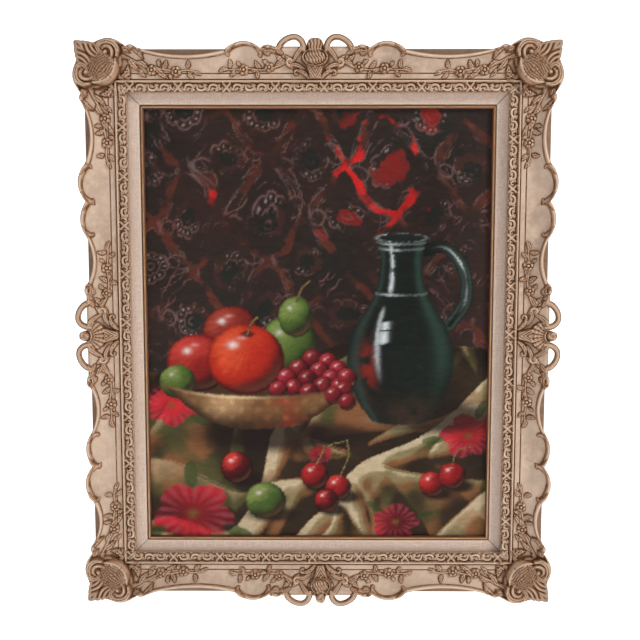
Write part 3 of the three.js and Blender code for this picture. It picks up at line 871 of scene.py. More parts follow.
def sheet_faces(rows, columns, closed=False):
    """Four-sided faces between rows of points. closed joins the last row to the first."""
    row = np.arange(rows if closed else rows - 1)[:, None]
    column = np.arange(columns - 1)[None, :]
    here, following = row * columns + column, (row + 1) % rows * columns + column
    return np.stack([here, here + 1, following + 1, following], axis=-1).reshape(-1, 4).tolist()


def section_faces(rows, columns):
    """The faces of a run whose section is closed, with a face at each end."""
    ends = [[row * columns + column for row in range(rows)] for column in (0, columns - 1)]
    return sheet_faces(rows, columns, closed=True) + ends


def add_piece(name, points, faces, material, replaced, values):
    """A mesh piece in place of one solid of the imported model, with values kept at its points."""
    smoothed = math.radians(40)  # edges up to this angle are shaded smooth
    mesh = bpy.data.meshes.new(name)
    mesh.from_pydata(points.tolist(), [], faces)
    for key, numbers in values.items():
        if key == "paint":
            mesh.color_attributes.new(key, "FLOAT_COLOR", "POINT").data.foreach_set("color", numbers.ravel())
        else:
            mesh.attributes.new(key, "FLOAT", "POINT").data.foreach_set("value", numbers.ravel())
    shape = bmesh.new()
    shape.from_mesh(mesh)
    bmesh.ops.recalc_face_normals(shape, faces=shape.faces)
    shape.to_mesh(mesh)
    shape.free()
    mesh.shade_smooth()
    mesh.set_sharp_from_angle(angle=smoothed)
    mesh.materials.append(material)
    piece = bpy.data.objects.new(name, mesh)
    bpy.context.scene.collection.objects.link(piece)
    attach(piece, "root")
    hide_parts(replaced)
    return piece


def tube(points, radii):
    """A round bar along points (u, v, h) with a groove at each side, and how much painted shade each point
    gets on the bar's back side.
    """
    sides = 26
    run = np.gradient(points, axis=0)
    run /= np.linalg.norm(run, axis=1)[:, None]
    front = np.array([0.0, 0.0, 1.0])
    across = np.cross(front, run)
    across /= np.linalg.norm(across, axis=1)[:, None]
    angle = np.arange(sides) * 2 * math.pi / sides
    notch = 1 - 0.14 * np.exp(-(((np.abs(angle - math.pi / 2) - 0.85) / 0.2) ** 2))
    section = np.cos(angle)[None, :, None] * across[:, None] + np.sin(angle)[None, :, None] * front
    rings = points[:, None] + radii[:, None, None] * notch[None, :, None] * section
    # painted shade: the side of the bar that faces the wall is darkened
    lines = 0.9 * smooth(-np.sin(angle), -0.96, -0.72)
    uneven = 0.8 + 0.2 * np.cos(np.arange(len(points)) * 1.9)[:, None]
    return rings, lines * uneven


def loops(rail):
    """The two open loops over the middle of a rail: rings of points (u, v, h), with the painted shade of
    each.
    """
    rising = [(12.2, 60), (12.8, 66), (15.2, 71.6), (20, 75.4)]
    falling = [(25.6, 75.8), (31.4, 73.8), (36.4, 70), (40, 65), (39.8, 60.4)]
    path = curve(rising + falling, 8)
    share = np.linspace(0, 1, len(path))
    radii = np.interp(share, [0, 0.12, 0.45, 0.8, 0.95, 1], [2.4, 3.5, 3.2, 3.5, 2.8, 1.7])
    radii = radii * (1 + 0.05 * np.cos(np.arange(len(path)) * 1.9))
    height = np.interp(share, [0, 0.5, 1], [37.4, 37.0, 37.4])
    made = []
    for side in (-1, 1):
        u = rail["middle"] + side * (path[:, 0] + rail["loop_shift"])
        made.append(tube(np.column_stack([u, path[:, 1], height]), radii))
    return made


def wear(carving, height):
    """From 0 to 1 at each point: how far it lies in a recess with patina, is worn, brown, aged, raised with a
    painted highlight, or bare.
    """
    u, v = carving.u, carving.v
    fine, broad = blurred(height, 1), blurred(height, 4)
    steep = np.hypot(*np.gradient(height)) / GRID
    patina_and_shade = smooth(fine - height, 0.03, 0.4) + 0.6 * smooth(broad - height, 0.25, 2.0)
    patina_and_shade = np.clip(patina_and_shade + 0.3 * smooth(steep, 0.8, 2.0), 0, 1)
    # painted highlight on the flat tops of the relief
    raised = 0.6 * smooth(height - broad, 0.25, 1.2) * (1 - smooth(steep, 0.3, 0.9))
    worn = 0.8 * smooth(steep, 0.4, 1.5) + 0.6 * smooth(carving.relief, 0.4, 2.2)
    worn = worn + smooth(v - carving.edge, -3.4, -1.2) * 0.35
    worn = np.where(v < STEP_INNER, 0.5 * worn, worn)
    corner = np.hypot(carving.corner - np.abs(u) - 8, BASE - v - 8)
    middle = np.hypot(u - carving.rail["middle"], v - BASE + 8)
    return {
        "patina_and_shade": patina_and_shade,
        "worn": np.clip(worn * (1 - 0.6 * patina_and_shade), 0, 1),
        "strip": smooth(v - carving.edge, -1.3, -0.5) * 0.7,
        "aged": 0.8 * (1 - smooth(corner, 16, 40)) + 0.2 * (1 - smooth(middle, 16, 34)),
        "raised": raised,
        "bare": 0 * raised,
    }


def behind(carving):
    """Rows from the lip round the outside, the back and the rebate to the front: v, h, brown and bare."""
    edge = carving.edge
    rows = [
        (edge, 37.6, 0.8, 0),
        (edge - 0.5, 34.5, 0.9, 0),
        (np.minimum(edge - 1, BASE - 0.5), BASE_FRONT + 0.2, 1, 0),
        (BASE - 0.4, BASE_FRONT, 1, 0),
        (BASE, BASE_FRONT - 0.4, 1, 0),
        (BASE, 0.8, 0.8, 0.1),
        (BASE - 0.8, 0, 0.2, 1),
        (REBATE + 0.5, 0, 0, 1),
        (REBATE, 0.5, 0, 1),
        (REBATE, LEDGE, 0, 1),
        (BAND_INNER, LEDGE, 0, 1),
        (BAND_INNER, BAND_BED - 0.6, 0.6, 0),
    ]
    return [np.array([number * np.ones_like(edge) for number in column]) for column in zip(*rows)]


def carved_rail(name, rail, material):
    carving = Carving(rail)
    sight_band(carving)
    middle_ornament(carving)
    edge_hooks(carving)
    for side in (-1, 1):
        corner_ornament(carving, side)
    height = carving.heights()
    tail_v, tail_h, brown, bare = behind(carving)
    tail = {"strip": brown, "bare": bare}
    values = wear(carving, height)
    for key, numbers in values.items():
        values[key] = np.vstack([numbers, tail.get(key, 0 * tail_v)]).ravel()
    u = np.vstack([carving.u, carving.t * (carving.half + tail_v - MITRE)])
    v = np.vstack([carving.v, tail_v])
    h = np.vstack([height, tail_h])
    points = in_room(rail, u, v, h).reshape(-1, 3)
    faces = section_faces(*v.shape)
    for rings, marks in loops(rail):
        grid = np.arange(marks.size).reshape(marks.shape) + len(points)
        points = np.vstack([points, in_room(rail, *np.moveaxis(rings, -1, 0)).reshape(-1, 3)])
        turned = np.roll(grid, -1, axis=1)
        around = np.stack([grid[:-1], turned[:-1], turned[1:], grid[1:]], axis=-1)
        faces += [*around.reshape(-1, 4).tolist(), grid[0].tolist(), grid[-1].tolist()]
        # the open loops: painted shade on each bar's back side, bronze wear, some age, and a painted
        # highlight elsewhere
        worn = {"patina_and_shade": marks, "worn": 0.85, "aged": 0.3, "raised": 0.35 * (marks < 0.05)}
        for key, numbers in values.items():
            values[key] = np.concatenate([numbers, (worn.get(key, 0) * np.ones_like(marks)).ravel()])
    add_piece(f"carved_rail_{name}", points, faces, material, f"frame_rail_{name}", values)


def straight_run(rail, profile):
    """A moulding of one section between two mitres: its points (u, v, h) in rows round the section."""
    profile = np.array(profile, float)
    near_end = np.array([0, 0.4, 0.8, 1.2, 2, 4, 8])  # how far in from each mitre
    ends = 1 - near_end / rail["half"]
    t = np.concatenate([-ends, np.linspace(-ends[-1], ends[-1], 26)[1:-1], ends[::-1]])
    columns = len(t)
    v = np.repeat(profile[:, :1], columns, axis=1)
    h = np.repeat(profile[:, 1:], columns, axis=1)
    return t * (rail["half"] + v - MITRE), v, h


def moulding(name, rail, profile, material, node, values):
    """A piece of one section between two mitres. values are functions of (u, v, h)."""
    u, v, h = straight_run(rail, profile)
    made = {key: shape(u, v, h) for key, shape in values.items()}
    points = in_room(rail, u, v, h).reshape(-1, 3)
    return add_piece(name, points, section_faces(*v.shape), material, node, made)


def arc(centre, radius, first, last, steps):
    """Points on an arc between two angles in degrees."""
    angles = np.radians(np.linspace(first, last, steps + 1))
    return [(centre[0] + radius * math.cos(a), centre[1] + radius * math.sin(a)) for a in angles]


# Liner, slip and stretcher


def linen():
    """Plain greyish linen glued over wood: crossing threads with thicker slubs here and there, painted
    highlight and shade.
    """
    look = Finish("linen")
    threads = look.math("MAXIMUM", look.noise(90, 3, 0.6, (1, 1, 9)), look.noise(90, 3, 0.6, (9, 1, 1)))
    cloth = look.coats(
        (0.60, 0.455, 0.375),
        (look.span(threads, 0.45, 0.72), (0.80, 0.64, 0.545)),
        (look.span(look.noise(420, 2, 0.6), 0.58, 0.75, 0, 0.5), (0.36, 0.245, 0.18)),
        (look.span(look.noise(9, 3), 0.4, 0.7, 0, 0.3), (0.56, 0.42, 0.33)),
        # painted highlight along the rounded inner edge
        (look.value("edge"), (0.86, 0.70, 0.57)),
        # painted shade beside the band and by the canvas, and dark joints along the mitres
        (look.value("shade_and_joints"), (0.20, 0.125, 0.08)),
    )
    height = look.math("ADD", look.weave(290, 1.2), threads)
    return look.finish(cloth, 0.9, look.bump(height, 0.00022), Sheen_Weight=0.15)


def gilt():
    """Worn orange-gold leaf over red clay, with painted shade along both sides."""
    look = Finish("gilt")
    rubs, fine = look.noise(60, 4, 0.6), look.noise(500, 3, 0.7)
    gold = look.coats(
        (0.40, 0.190, 0.085),
        (look.span(rubs, 0.35, 0.7), (0.58, 0.345, 0.165)),
        (look.span(fine, 0.58, 0.72, 0, 0.7), (0.30, 0.10, 0.04)),
        # painted shade along both sides of the slip
        (look.times("edge", look.span(rubs, 0.2, 0.6, 0.75, 1)), (0.07, 0.022, 0.010)),
    )
    # less metal where the sides carry painted shade
    metal = look.math("SUBTRACT", 0.75, look.value("edge"))
    look.feed(look.shader.inputs["Metallic"], look.span(metal, 0, 0.75, 0, 0.7))
    return look.finish(gold, look.span(fine, 0.3, 0.7, 0.32, 0.5), look.bump(fine, 0.0001))


def pine(direction):
    """Bare pine with its grain along one axis."""
    look = Finish(f"pine_{direction}")
    stretch = grain_stretch(direction)
    rings, fibres = look.noise(130, 3, 0.5, stretch), look.noise(900, 2, 0.6, stretch)
    wood = look.coats(
        (0.62, 0.44, 0.25),
        (look.span(rings, 0.35, 0.65), (0.47, 0.29, 0.135)),
        (look.span(fibres, 0.55, 0.75, 0, 0.4), (0.33, 0.19, 0.09)),
        (look.span(look.noise(12, 3), 0.45, 0.75, 0, 0.35), (0.40, 0.29, 0.18)),
    )
    return look.finish(wood, look.span(fibres, 0.3, 0.7, 0.6, 0.8), look.bump(rings, 0.00025))


def liner_piece(name, rail, material):
    """The liner: its linen face slopes in to a rounded edge beside the slip."""
    inner, outer, rebate, back = 4.6, 23.6, 6.7, 4
    face, rise, edge, crown, ease = 21.3, 1.1, 1.3, 0.35, 0.6
    profile = [(rebate, back), (outer - ease, back), (outer, back + ease), (outer, face + rise - 0.5)]
    for v in np.linspace(outer - 0.5, inner + edge, 14):
        share = (v - inner) / (outer - inner)
        profile.append((v, face + rise * share + crown * 4 * share * (1 - share) - crown * 0.3))
    profile += arc((inner + edge, face - edge + 0.1), edge, 90, 180, 5)
    profile += [(inner, CANVAS_FRONT + 0.6), (inner + 0.3, CANVAS_FRONT + 0.3), (rebate, CANVAS_FRONT + 0.3)]

    # painted highlight on the rounded inner edge and just below it
    def edge_highlight(u, v, h):
        return 0.75 * smooth(-v, -(inner + 1.7), -(inner + 0.9)) * (h > max(face - 1.2, CANVAS_FRONT + 1))

    # painted shade: the band's shadow on the liner's outer side and shade at its foot by the canvas; dark
    # joints along the mitres
    def shade_and_joints(u, v, h):
        near = smooth(v, outer - 4.4, outer - 2) + smooth(CANVAS_FRONT + 2.2 - h, 0, 1) * (v < inner + 1)
        ends = smooth(np.abs(u) - (rail["half"] + v), -1.1, -0.2)
        return np.clip(0.55 * near + 0.7 * ends, 0, 1)

    values = {"edge": edge_highlight, "shade_and_joints": shade_and_joints}
    moulding(f"linen_liner_{name}", rail, profile, material, f"liner_{name}", values)


def slip_piece(name, rail, material):
    """The gilt slip: a half round beside the picture."""
    wide, tall, foot = 4.2, 4.6, CANVAS_FRONT + 0.3
    middle = foot + tall - wide / 2
    profile = [(0, foot), (wide, foot), *arc((wide / 2, middle), wide / 2, 0, 180, 14)]

    # painted shade: 0 on the top of the half round, 1 down its sides
    def edge(u, v, h):
        return smooth(np.abs(v - wide / 2) / (wide / 2), 0.22, 0.5)

    moulding(f"gold_slip_{name}", rail, profile, material, f"gilt_slip_{name}", {"edge": edge})


def stretcher_piece(name, rail, material):
    """A stretcher bar, bevelled on its front so that only its outer edge touches the canvas."""
    node = f"stretcher_{name}"
    low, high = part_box(node)
    sides = (low.x, high.x) if rail["turn"] % 2 else (low.z - MIDDLE.z, high.z - MIDDLE.z)
    inner, outer = sorted(abs(side) / MM - rail["out"] for side in sides)
    back, front = -high.y / MM, -low.y / MM
    ease, bevel = 0.8, 1.5
    profile = [(inner + ease, back), (outer - ease, back), (outer, back + ease), (outer, front - ease)]
    profile += [(outer - ease, front), (outer - 5, front - 0.2), (inner + ease, front - bevel)]
    profile += [(inner, front - bevel - ease), (inner, back + ease)]
    return moulding(f"stretcher_bar_{name}", rail, profile, material, node, {})


# The picture


def field_noise(x, z, size, seed):
    """Smooth noise from 0 to 1 in cells of one size."""
    wide, tall = 67, 71
    grid = np.random.default_rng(seed).random((wide, tall))
    i, j = np.floor(x / size).astype(int), np.floor(z / size).astype(int)
    s, t = x / size - i, z / size - j
    s, t = s * s * (3 - 2 * s), t * t * (3 - 2 * t)
    low = grid[i % wide, j % tall] * (1 - s) + grid[(i + 1) % wide, j % tall] * s
    high = grid[i % wide, (j + 1) % tall] * (1 - s) + grid[(i + 1) % wide, (j + 1) % tall] * s
    return low * (1 - t) + high * t


def clouds(x, z, size, seed, depth=3):
    """Noise from 0 to 1 with finer noise on top."""
    total = sum(field_noise(x * 2**k, z * 2**k, size, seed + k) / 2**k for k in range(depth))
    return total / (2 - 2 ** (1 - depth))


def blend(share, first, second):
    share = np.clip(share, 0, 1)[..., None]
    return np.asarray(first) * (1 - share) + np.asarray(second) * share


def layers(color, *coats):
    """Colours laid over a ground one after the other, each by its share."""
    for share, coat in coats:
        color = blend(share, color, coat)
    return color


def line(distance, width):
    """1 where the distance is 0, fading out over a width."""
    return np.exp(-((distance / width) ** 2))


class Picture:
    """Paint laid over the canvas layer by layer. x and z run from the picture's middle."""

    def __init__(self, x, z):
        """Each dab of paint takes its colour from a spot a little beside it."""
        turn = 6 * clouds(x, z, 90, 3)
        a = x * np.cos(turn * 0.5) + z * np.sin(turn * 0.5)
        b = z * np.cos(turn * 0.5) - x * np.sin(turn * 0.5)
        wide, tall, long, high = 97, 89, 5.5, 2.2  # the table of dabs, and a dab's size
        dabs = np.random.default_rng(11).random((wide, tall, 2)) - 0.5
        spot = dabs[np.floor(a / long).astype(int) % wide, np.floor(b / high).astype(int) % tall]
        self.x, self.z = x + 1.2 * spot[..., 0], z + 1.2 * spot[..., 1]
        self.paint = np.zeros((*x.shape, 3))

    def lay(self, share, color):
        self.paint = blend(share, self.paint, color)

    def noise(self, size, seed, depth=3):
        return clouds(self.x, self.z, size, seed, depth)

    def dim(self, share):
        self.paint = self.paint * share[..., None]


def hanging(picture):
    """A dark figured cloth behind: rosettes in staggered rows within curved bands, partly lit red."""
    wide, tall = 92, 118
    x = picture.x + 30 * (picture.noise(58, 21, 2) - 0.5) + 12
    z = picture.z + 30 * (picture.noise(58, 25, 2) - 0.5) + 20
    row = np.floor(z / (tall / 2))
    a = (x + (row % 2) * wide / 2) % wide - wide / 2
    b = z % (tall / 2) - tall / 4
    r, angle = np.hypot(a, b), np.arctan2(b, a)
    ground = blend(picture.noise(70, 31), (0.010, 0.013, 0.011), (0.040, 0.017, 0.014))
    picture.lay(np.ones_like(x), ground)

    bow, ripple = 0.12 * np.cos(4 * np.pi * b / tall), 0.03 * np.cos(10 * np.pi * b / tall)
    band = np.abs(a) - wide * (0.36 + bow + ripple)
    worn = smooth(picture.noise(24, 41), 0.42, 0.66)
    band = band + 5 * (picture.noise(17, 45) - 0.5)
    lit = smooth(picture.noise(30, 49) + line(picture.x - 70 - 0.6 * (picture.z - 170), 52) * 0.6, 0.78, 0.86)
    lit = lit * smooth(picture.z, 98, 122)
    dull = blend(picture.noise(15, 43), (0.055, 0.018, 0.014), (0.13, 0.030, 0.018))
    red = blend(lit, dull, (0.66, 0.014, 0.014))
    picture.lay(smooth(-np.abs(band), -6.5, -4.5) * worn * 0.9, red)

    petals = 21 * (0.8 + 0.2 * np.abs(np.cos(4 * angle)) ** 0.6)
    outer = blend(lit, (0.050, 0.020, 0.016), (0.20, 0.015, 0.014))
    inner = blend(0.5 * lit, (0.012, 0.015, 0.012), (0.4, 0.012, 0.012))
    picture.lay(smooth(-r / petals, -1, -0.9) * 0.8 * worn, outer)
    picture.lay(smooth(-r / petals, -0.56, -0.5) * 0.9, inner)
    curls = np.sin(2.0 * angle - 0.42 * r * np.sign(a)) * 7 + 0.6 * (r - 30)
    sprigs = np.abs(np.hypot(np.abs(a) - 30, b - 6 * np.sign(a)) - 9 - 2.4 * np.sin(3 * angle))
    edges = line(r - petals, 1.1) + line(r - 0.54 * petals, 0.9) + line(r - 4.2, 1.0)
    edges = edges + line(np.abs(band) - 7, 0.9) + line(sprigs, 1.0)
    edges = edges + 0.8 * line(curls, 1.3) * smooth(r, 24, 30)
    seen = smooth(picture.noise(19, 53), 0.46, 0.68)
    tone = blend(picture.noise(37, 59), (0.16, 0.125, 0.12), (0.20, 0.055, 0.045))
    picture.lay(np.clip(edges, 0, 1) * seen * 0.75, tone)
    beads = line(r - 0.78 * petals, 1.3) * smooth(np.cos(15 * angle), 0.2, 0.7)
    picture.lay(beads * seen, (0.26, 0.22, 0.20))
    picture.dim(0.55 + 0.75 * picture.noise(120, 61, 2))


def folds(x, z):
    """The table cloth's surface."""
    x, z = x + 90 * (clouds(x, z, 105, 71, 1) - 0.5), z + 90 * (clouds(x, z, 95, 75, 1) - 0.5)
    first = 1 - np.abs(np.sin((0.35 * x + z) / 37 + 0.9 * np.sin(x / 75)))
    second = 1 - np.abs(np.sin((z - 0.95 * x) / 58 + 1.1))
    third = 1 - np.abs(np.sin((x + 0.2 * z) / 24 + 1.2 * np.sin(z / 34)))
    soft = clouds(x, z, 40, 79, 2)
    return 24 * first**1.6 + 21 * second**1.9 + 6 * third**2 * (1 - first) + 11 * soft


def table_cloth(picture):
    """A draped olive and cream cloth with deep folds and a few printed red flowers."""
    x, z = picture.x, picture.z
    horizon = -34 + 9 * np.sin(x / 62 + 0.6) + 5 * np.sin(x / 23) + 0.05 * x
    step = 2.2
    along = (folds(x + step, z) - folds(x - step, z)) / (2 * step)
    down = (folds(x, z + step) - folds(x, z - step)) / (2 * step)
    light = 0.52 - 0.62 * along + 0.42 * down + 0.011 * (folds(x, z) - 20)
    light = light + 0.16 * (picture.noise(60, 83) - 0.5)
    dark = blend(picture.noise(38, 89), (0.016, 0.009, 0.007), (0.040, 0.024, 0.011))
    olive = blend(smooth(picture.noise(34, 97), 0.35, 0.65), (0.080, 0.072, 0.024), (0.23, 0.095, 0.038))
    cream = blend(smooth(picture.noise(52, 101), 0.35, 0.65), (0.42, 0.27, 0.15), (0.25, 0.20, 0.095))
    cloth = layers(
        dark,
        (smooth(light, 0.18, 0.5), olive),
        (smooth(light, 0.52, 0.86), cream),
        (smooth(light, 0.92, 1.15) * 0.8, (0.62, 0.50, 0.33)),
    )
    green = blend(light, (0.010, 0.018, 0.008), (0.075, 0.105, 0.030))
    flowers = [(-148, -222, 52, 0.3), (92, -232, 30, 1.1), (-172, -92, 34, 0.2)]
    flowers += [(176, -128, 36, 2.0), (2, -150, 16, 0.7)]
    for centre_x, centre_z, size, turn in flowers:
        a, b = x - centre_x, (z - centre_z) * 1.25
        r, angle = np.hypot(a, b), np.arctan2(b, a) + turn
        ragged = 0.2 * (picture.noise(15, 103) - 0.5)
        outline = size * (0.62 + 0.3 * np.abs(np.cos(2.5 * angle)) ** 0.5 + ragged)
        veins = 0.5 + 0.5 * np.cos(17 * angle + 3 * picture.noise(20, 107))
        tint = blend(smooth(light, 0.1, 0.9), (0.10, 0.006, 0.010), (0.58, 0.020, 0.030))
        tint = blend(0.35 * veins * smooth(r / outline, 0.2, 0.9), tint, (0.50, 0.10, 0.13))
        cloth = blend(smooth(-r / outline, -1.04, -0.98), cloth, tint)
        cloth = blend(line(r, 0.12 * size) * 0.9, cloth, (0.16, 0.09, 0.02))
        for k in range(3):
            way = turn + 1.3 + 2.1 * k
            p = a * math.cos(way) + b * math.sin(way) - size * 1.15
            q = b * math.cos(way) - a * math.sin(way)
            blade = np.hypot(p / (0.42 * size), q / (0.17 * size))
            cloth = blend(smooth(-blade, -1, -0.85) * 0.85, cloth, green)
    picture.lay(smooth(horizon - z, -0.8, 0.8), cloth)
    far = smooth(z - horizon, -38, 0) * (z < horizon)
    picture.dim(1 - 0.45 * far)


def shade(picture, centre, wide, tall, depth):
    """A soft shadow on the cloth."""
    far = np.hypot((picture.x - centre[0]) / wide, (picture.z - centre[1]) / tall)
    picture.lay(depth * (1 - smooth(far, 0.45, 1.1)), (0.012, 0.006, 0.005))


def fruit(picture, centre, radius, colors, seed, squash=1.0, shine=1.0):
    """A round fruit lit from the upper left, with a bright spot and light from the cloth below."""
    deep, body, lit = colors
    x, z = (picture.x - centre[0]) / radius, (picture.z - centre[1]) / (radius * squash)
    r = np.hypot(x, z)
    light = -0.42 * x + 0.52 * z + 0.66 * rounded(r)
    angle = np.arctan2(z - 0.45, x - 0.1)
    streaks = 0.5 + 0.5 * np.cos(23 * angle + 4 * picture.noise(16, seed + 5))
    patches = picture.noise(max(8, 0.6 * radius), seed + 9) - 0.5
    bounce = smooth(r, 0.55, 0.85) * (1 - smooth(r, 0.88, 0.98)) * smooth(0.5 * x - 0.8 * z, 0.2, 0.9)
    spot = line(np.hypot(x + 0.34, (z - 0.42) * 1.3), 0.13)
    spot = spot + 0.35 * line(np.hypot(x + 0.1, (z - 0.62) * 2), 0.12)
    skin = layers(
        deep,
        (smooth(light + 0.3 * patches, 0.0, 0.55), body),
        (smooth(light + 0.4 * patches + 0.08 * streaks, 0.55, 1.05), lit),
        (0.24 * bounce, (0.30, 0.11, 0.06)),
        (smooth(r, 0.88, 1.0) * 0.45, deep),
        (np.clip(spot * shine, 0, 1) * 0.9, (0.86, 0.74, 0.70)),
    )
    edge = 0.9 / radius
    picture.lay(1 - smooth(r, 1 - edge, 1 + edge), skin)


def trail(picture, points, width, color, light):
    """A thin rounded line of paint, such as a stalk."""
    distance, _ = along_path(curve(points, 6), picture.x, picture.z)
    tint = blend(line(distance - 0.3 * width, 0.35 * width), color, light)
    picture.lay(1 - smooth(distance, 0.7 * width, 1.2 * width), tint)


def jug(picture):
    """A squat dark green glazed jug with a handle and long bright streaks."""
    middle, foot, top = 96, -112, 104
    marks = [0, 8, 30, 70, 108, 140, 162, 188, 206, 216]
    halves = [33, 38, 52, 62, 55, 36, 27, 24, 27, 31]
    x, z = picture.x, picture.z
    shade(picture, (middle + 46, foot + 6), 92, 26, 0.9)
    bow = [(22, 88), (50, 92), (72, 66), (74, 30), (56, 2)]
    handle = curve([(middle + aside, level) for aside, level in bow], 8)
    distance, place = along_path(handle, x, z)
    ring = np.clip(distance / 7.5, 0, 1)
    gleam = line(distance, 1.3) * (line(place - 0.36, 0.13) + 0.4 * line(place - 0.7, 0.1))
    glaze = layers(
        (0.004, 0.006, 0.005),
        (line(ring - 0.55, 0.25) * smooth(place, 0.05, 0.5), (0.030, 0.055, 0.042)),
        (gleam, (0.55, 0.62, 0.62)),
    )
    picture.lay(1 - smooth(distance, 6.4, 7.8), glaze)

    rise = np.clip(z - foot, 0, top - foot)
    smoothed = curve(np.column_stack([marks, halves]), 6)
    half = np.interp(rise, smoothed[:, 0], smoothed[:, 1])
    across = (x - middle) / half
    round_front = rounded(across)
    bottom = foot - 6 * round_front + 3
    soft = 0.8
    inside = 1 - smooth(np.abs(across), 1 - soft / half, 1 + soft / half)
    inside = inside * smooth(z, bottom - soft, bottom + soft) * (1 - smooth(z, top - soft, top + soft))
    warm = line(across - 0.2, 0.6) * (1 - smooth(z, foot + 6, foot + 46)) * picture.noise(14, 127)
    red = line(across + 0.62, 0.14) * line(z + 44, 26) * smooth(picture.noise(13, 131), 0.3, 0.6)
    broken = smooth(picture.noise(11, 137), 0.28, 0.5)
    neck = line(across + 0.42, 0.085) * smooth(z, 34, 46) * (1 - smooth(z, 92, 98)) * broken
    belly = line(across + 0.46 + 0.0012 * (z + 20), 0.05) * smooth(z, -70, -30) * (1 - smooth(z, 16, 26))
    panes = (1 - smooth(np.abs(z + 4 - 8 * across), 11, 14)) * smooth(np.abs(z + 4), 0.7, 1.6)
    window = line(across + 0.34, 0.085) * panes
    body = layers(
        (0.004, 0.006, 0.005),
        (picture.noise(40, 113), (0.008, 0.014, 0.011)),
        (line(across - 0.78, 0.16) * smooth(z, -100, -20) * 0.9, (0.022, 0.050, 0.038)),
        (line(across + 0.86, 0.10) * 0.7, (0.030, 0.050, 0.042)),
        (warm * 0.7, (0.10, 0.045, 0.022)),
        (red * 0.8, (0.30, 0.020, 0.014)),
        (neck * 0.9 + belly * 0.55 + window * 0.95, (0.66, 0.72, 0.74)),
    )
    for level in (98.5, 92, 40):
        ledge = line(z - level + 3 * round_front, 1.1) * (line(across + 0.4, 0.3) + 0.25)
        body = blend(ledge, body, (0.40, 0.45, 0.45))
    picture.lay(inside, body)
    mouth = np.hypot((x - middle) / 31, (z - top + 1) / 5.5)
    picture.lay(1 - smooth(mouth, 0.96, 1.04), (0.010, 0.014, 0.012))
    picture.lay(line(mouth - 0.93, 0.07) * (0.35 + 0.6 * line(x - middle + 16, 10)), (0.34, 0.40, 0.40))


def dish(picture):
    """A wide copper dish filled with fruit."""
    x, z = picture.x, picture.z
    middle, level, wide, tall = -70, -62, 112, 21
    shade(picture, (middle + 26, level - 66), 128, 24, 0.92)
    opening = np.hypot((x - middle) / wide, (z - level) / tall)
    inside = blend(picture.noise(30, 151), (0.020, 0.010, 0.007), (0.10, 0.045, 0.020))
    picture.lay(1 - smooth(opening, 0.98, 1.01), inside)
    picture.lay(line(opening - 0.985, 0.022) * 0.8, (0.36, 0.20, 0.10))

    # each fruit's colours are its shade, its own and its lit one
    deep, dark_lit = (0.012, 0.003, 0.004), (0.30, 0.022, 0.030)
    green = ((0.012, 0.022, 0.008), (0.070, 0.120, 0.022), (0.20, 0.27, 0.07))
    red = ((0.060, 0.004, 0.004), (0.46, 0.022, 0.010), (0.72, 0.090, 0.030))
    fruit(picture, (-100, -6), 34, (deep, (0.19, 0.016, 0.012), (0.42, 0.060, 0.035)), 207, 0.9)
    fruit(picture, (-34, -20), 33, green, 201, 1.0, 0.5)
    fruit(picture, (-26, 12), 20, green, 205, 1.2, 0.6)
    trail(picture, [(-24, 32), (-19, 45), (-10, 53)], 1.6, (0.05, 0.028, 0.012), (0.20, 0.12, 0.05))
    fruit(picture, (-140, -42), 36, (deep, (0.26, 0.012, 0.012), (0.55, 0.050, 0.035)), 211, 0.94)
    fruit(picture, (-84, -38), 45, red, 221, 0.92)
    shade(picture, (-82, -8), 11, 4.5, 0.8)
    trail(picture, [(-82, -9), (-79, 2), (-71, 11)], 1.7, (0.03, 0.016, 0.010), (0.22, 0.13, 0.06))
    fruit(picture, (-164, -64), 21, green, 231, 0.95, 0.6)
    grapes = [(-6, -38), (12, -42), (24, -50), (-22, -50), (2, -52), (16, -60), (-12, -62)]
    grapes += [(-36, -60), (-28, -72), (6, -70), (26, -70), (-46, -74), (-10, -78), (34, -60)]
    plum, dark = (deep, (0.15, 0.008, 0.014), (0.42, 0.030, 0.045)), (deep, (0.085, 0.006, 0.010), dark_lit)
    for number, place in enumerate(grapes):
        fruit(picture, place, 12.5 - 0.6 * (number % 3), plum if number % 3 else dark, 241 + 7 * number)

    within = np.abs(x - middle) < wide
    front = np.where(within, level - tall * rounded((x - middle) / wide), level)
    foot = level - 58 * np.clip(1 - np.abs((x - middle) / (wide + 1)) ** 2.6, 0, 1)
    wall = smooth(front - z, -0.6, 0.8) * smooth(z - foot, -0.8, 0.8) * (np.abs(x - middle) < wide + 1)
    share = np.clip((front - z) / np.maximum(front - foot, 1), 0, 1)
    across = (x - middle) / wide
    red_light = line(across - 0.28, 0.16) * smooth(picture.noise(17, 163), 0.35, 0.65)
    copper = layers(
        (0.13, 0.055, 0.022),
        (picture.noise(24, 157), (0.30, 0.150, 0.060)),
        (line(across + 0.32 + 0.15 * share, 0.17) * (1 - share) ** 0.5, (0.62, 0.38, 0.19)),
        (smooth(share, 0.3, 1.0) * 0.85, (0.030, 0.012, 0.008)),
        (smooth(np.abs(across), 0.55, 1.0) * 0.7, (0.035, 0.016, 0.010)),
        (red_light * 0.55, (0.34, 0.040, 0.020)),
    )
    dents = smooth(np.cos(x / 3.4 + 3 * picture.noise(12, 167)) * np.cos(z / 3.1), 0.1, 0.9)
    picture.lay(wall, copper * (0.85 + 0.35 * dents)[..., None])
    bright = blend(line(across + 0.3, 0.35), (0.16, 0.075, 0.030), (0.80, 0.58, 0.34))
    picture.lay(line(z - front, 1.7) * within, bright)
    for number, place in enumerate([(30, -74), (18, -80), (34, -88)]):
        colors = (deep, (0.16, 0.010, 0.016), dark_lit)
        fruit(picture, place, 11 - 0.4 * number, colors, 321 + 7 * number)


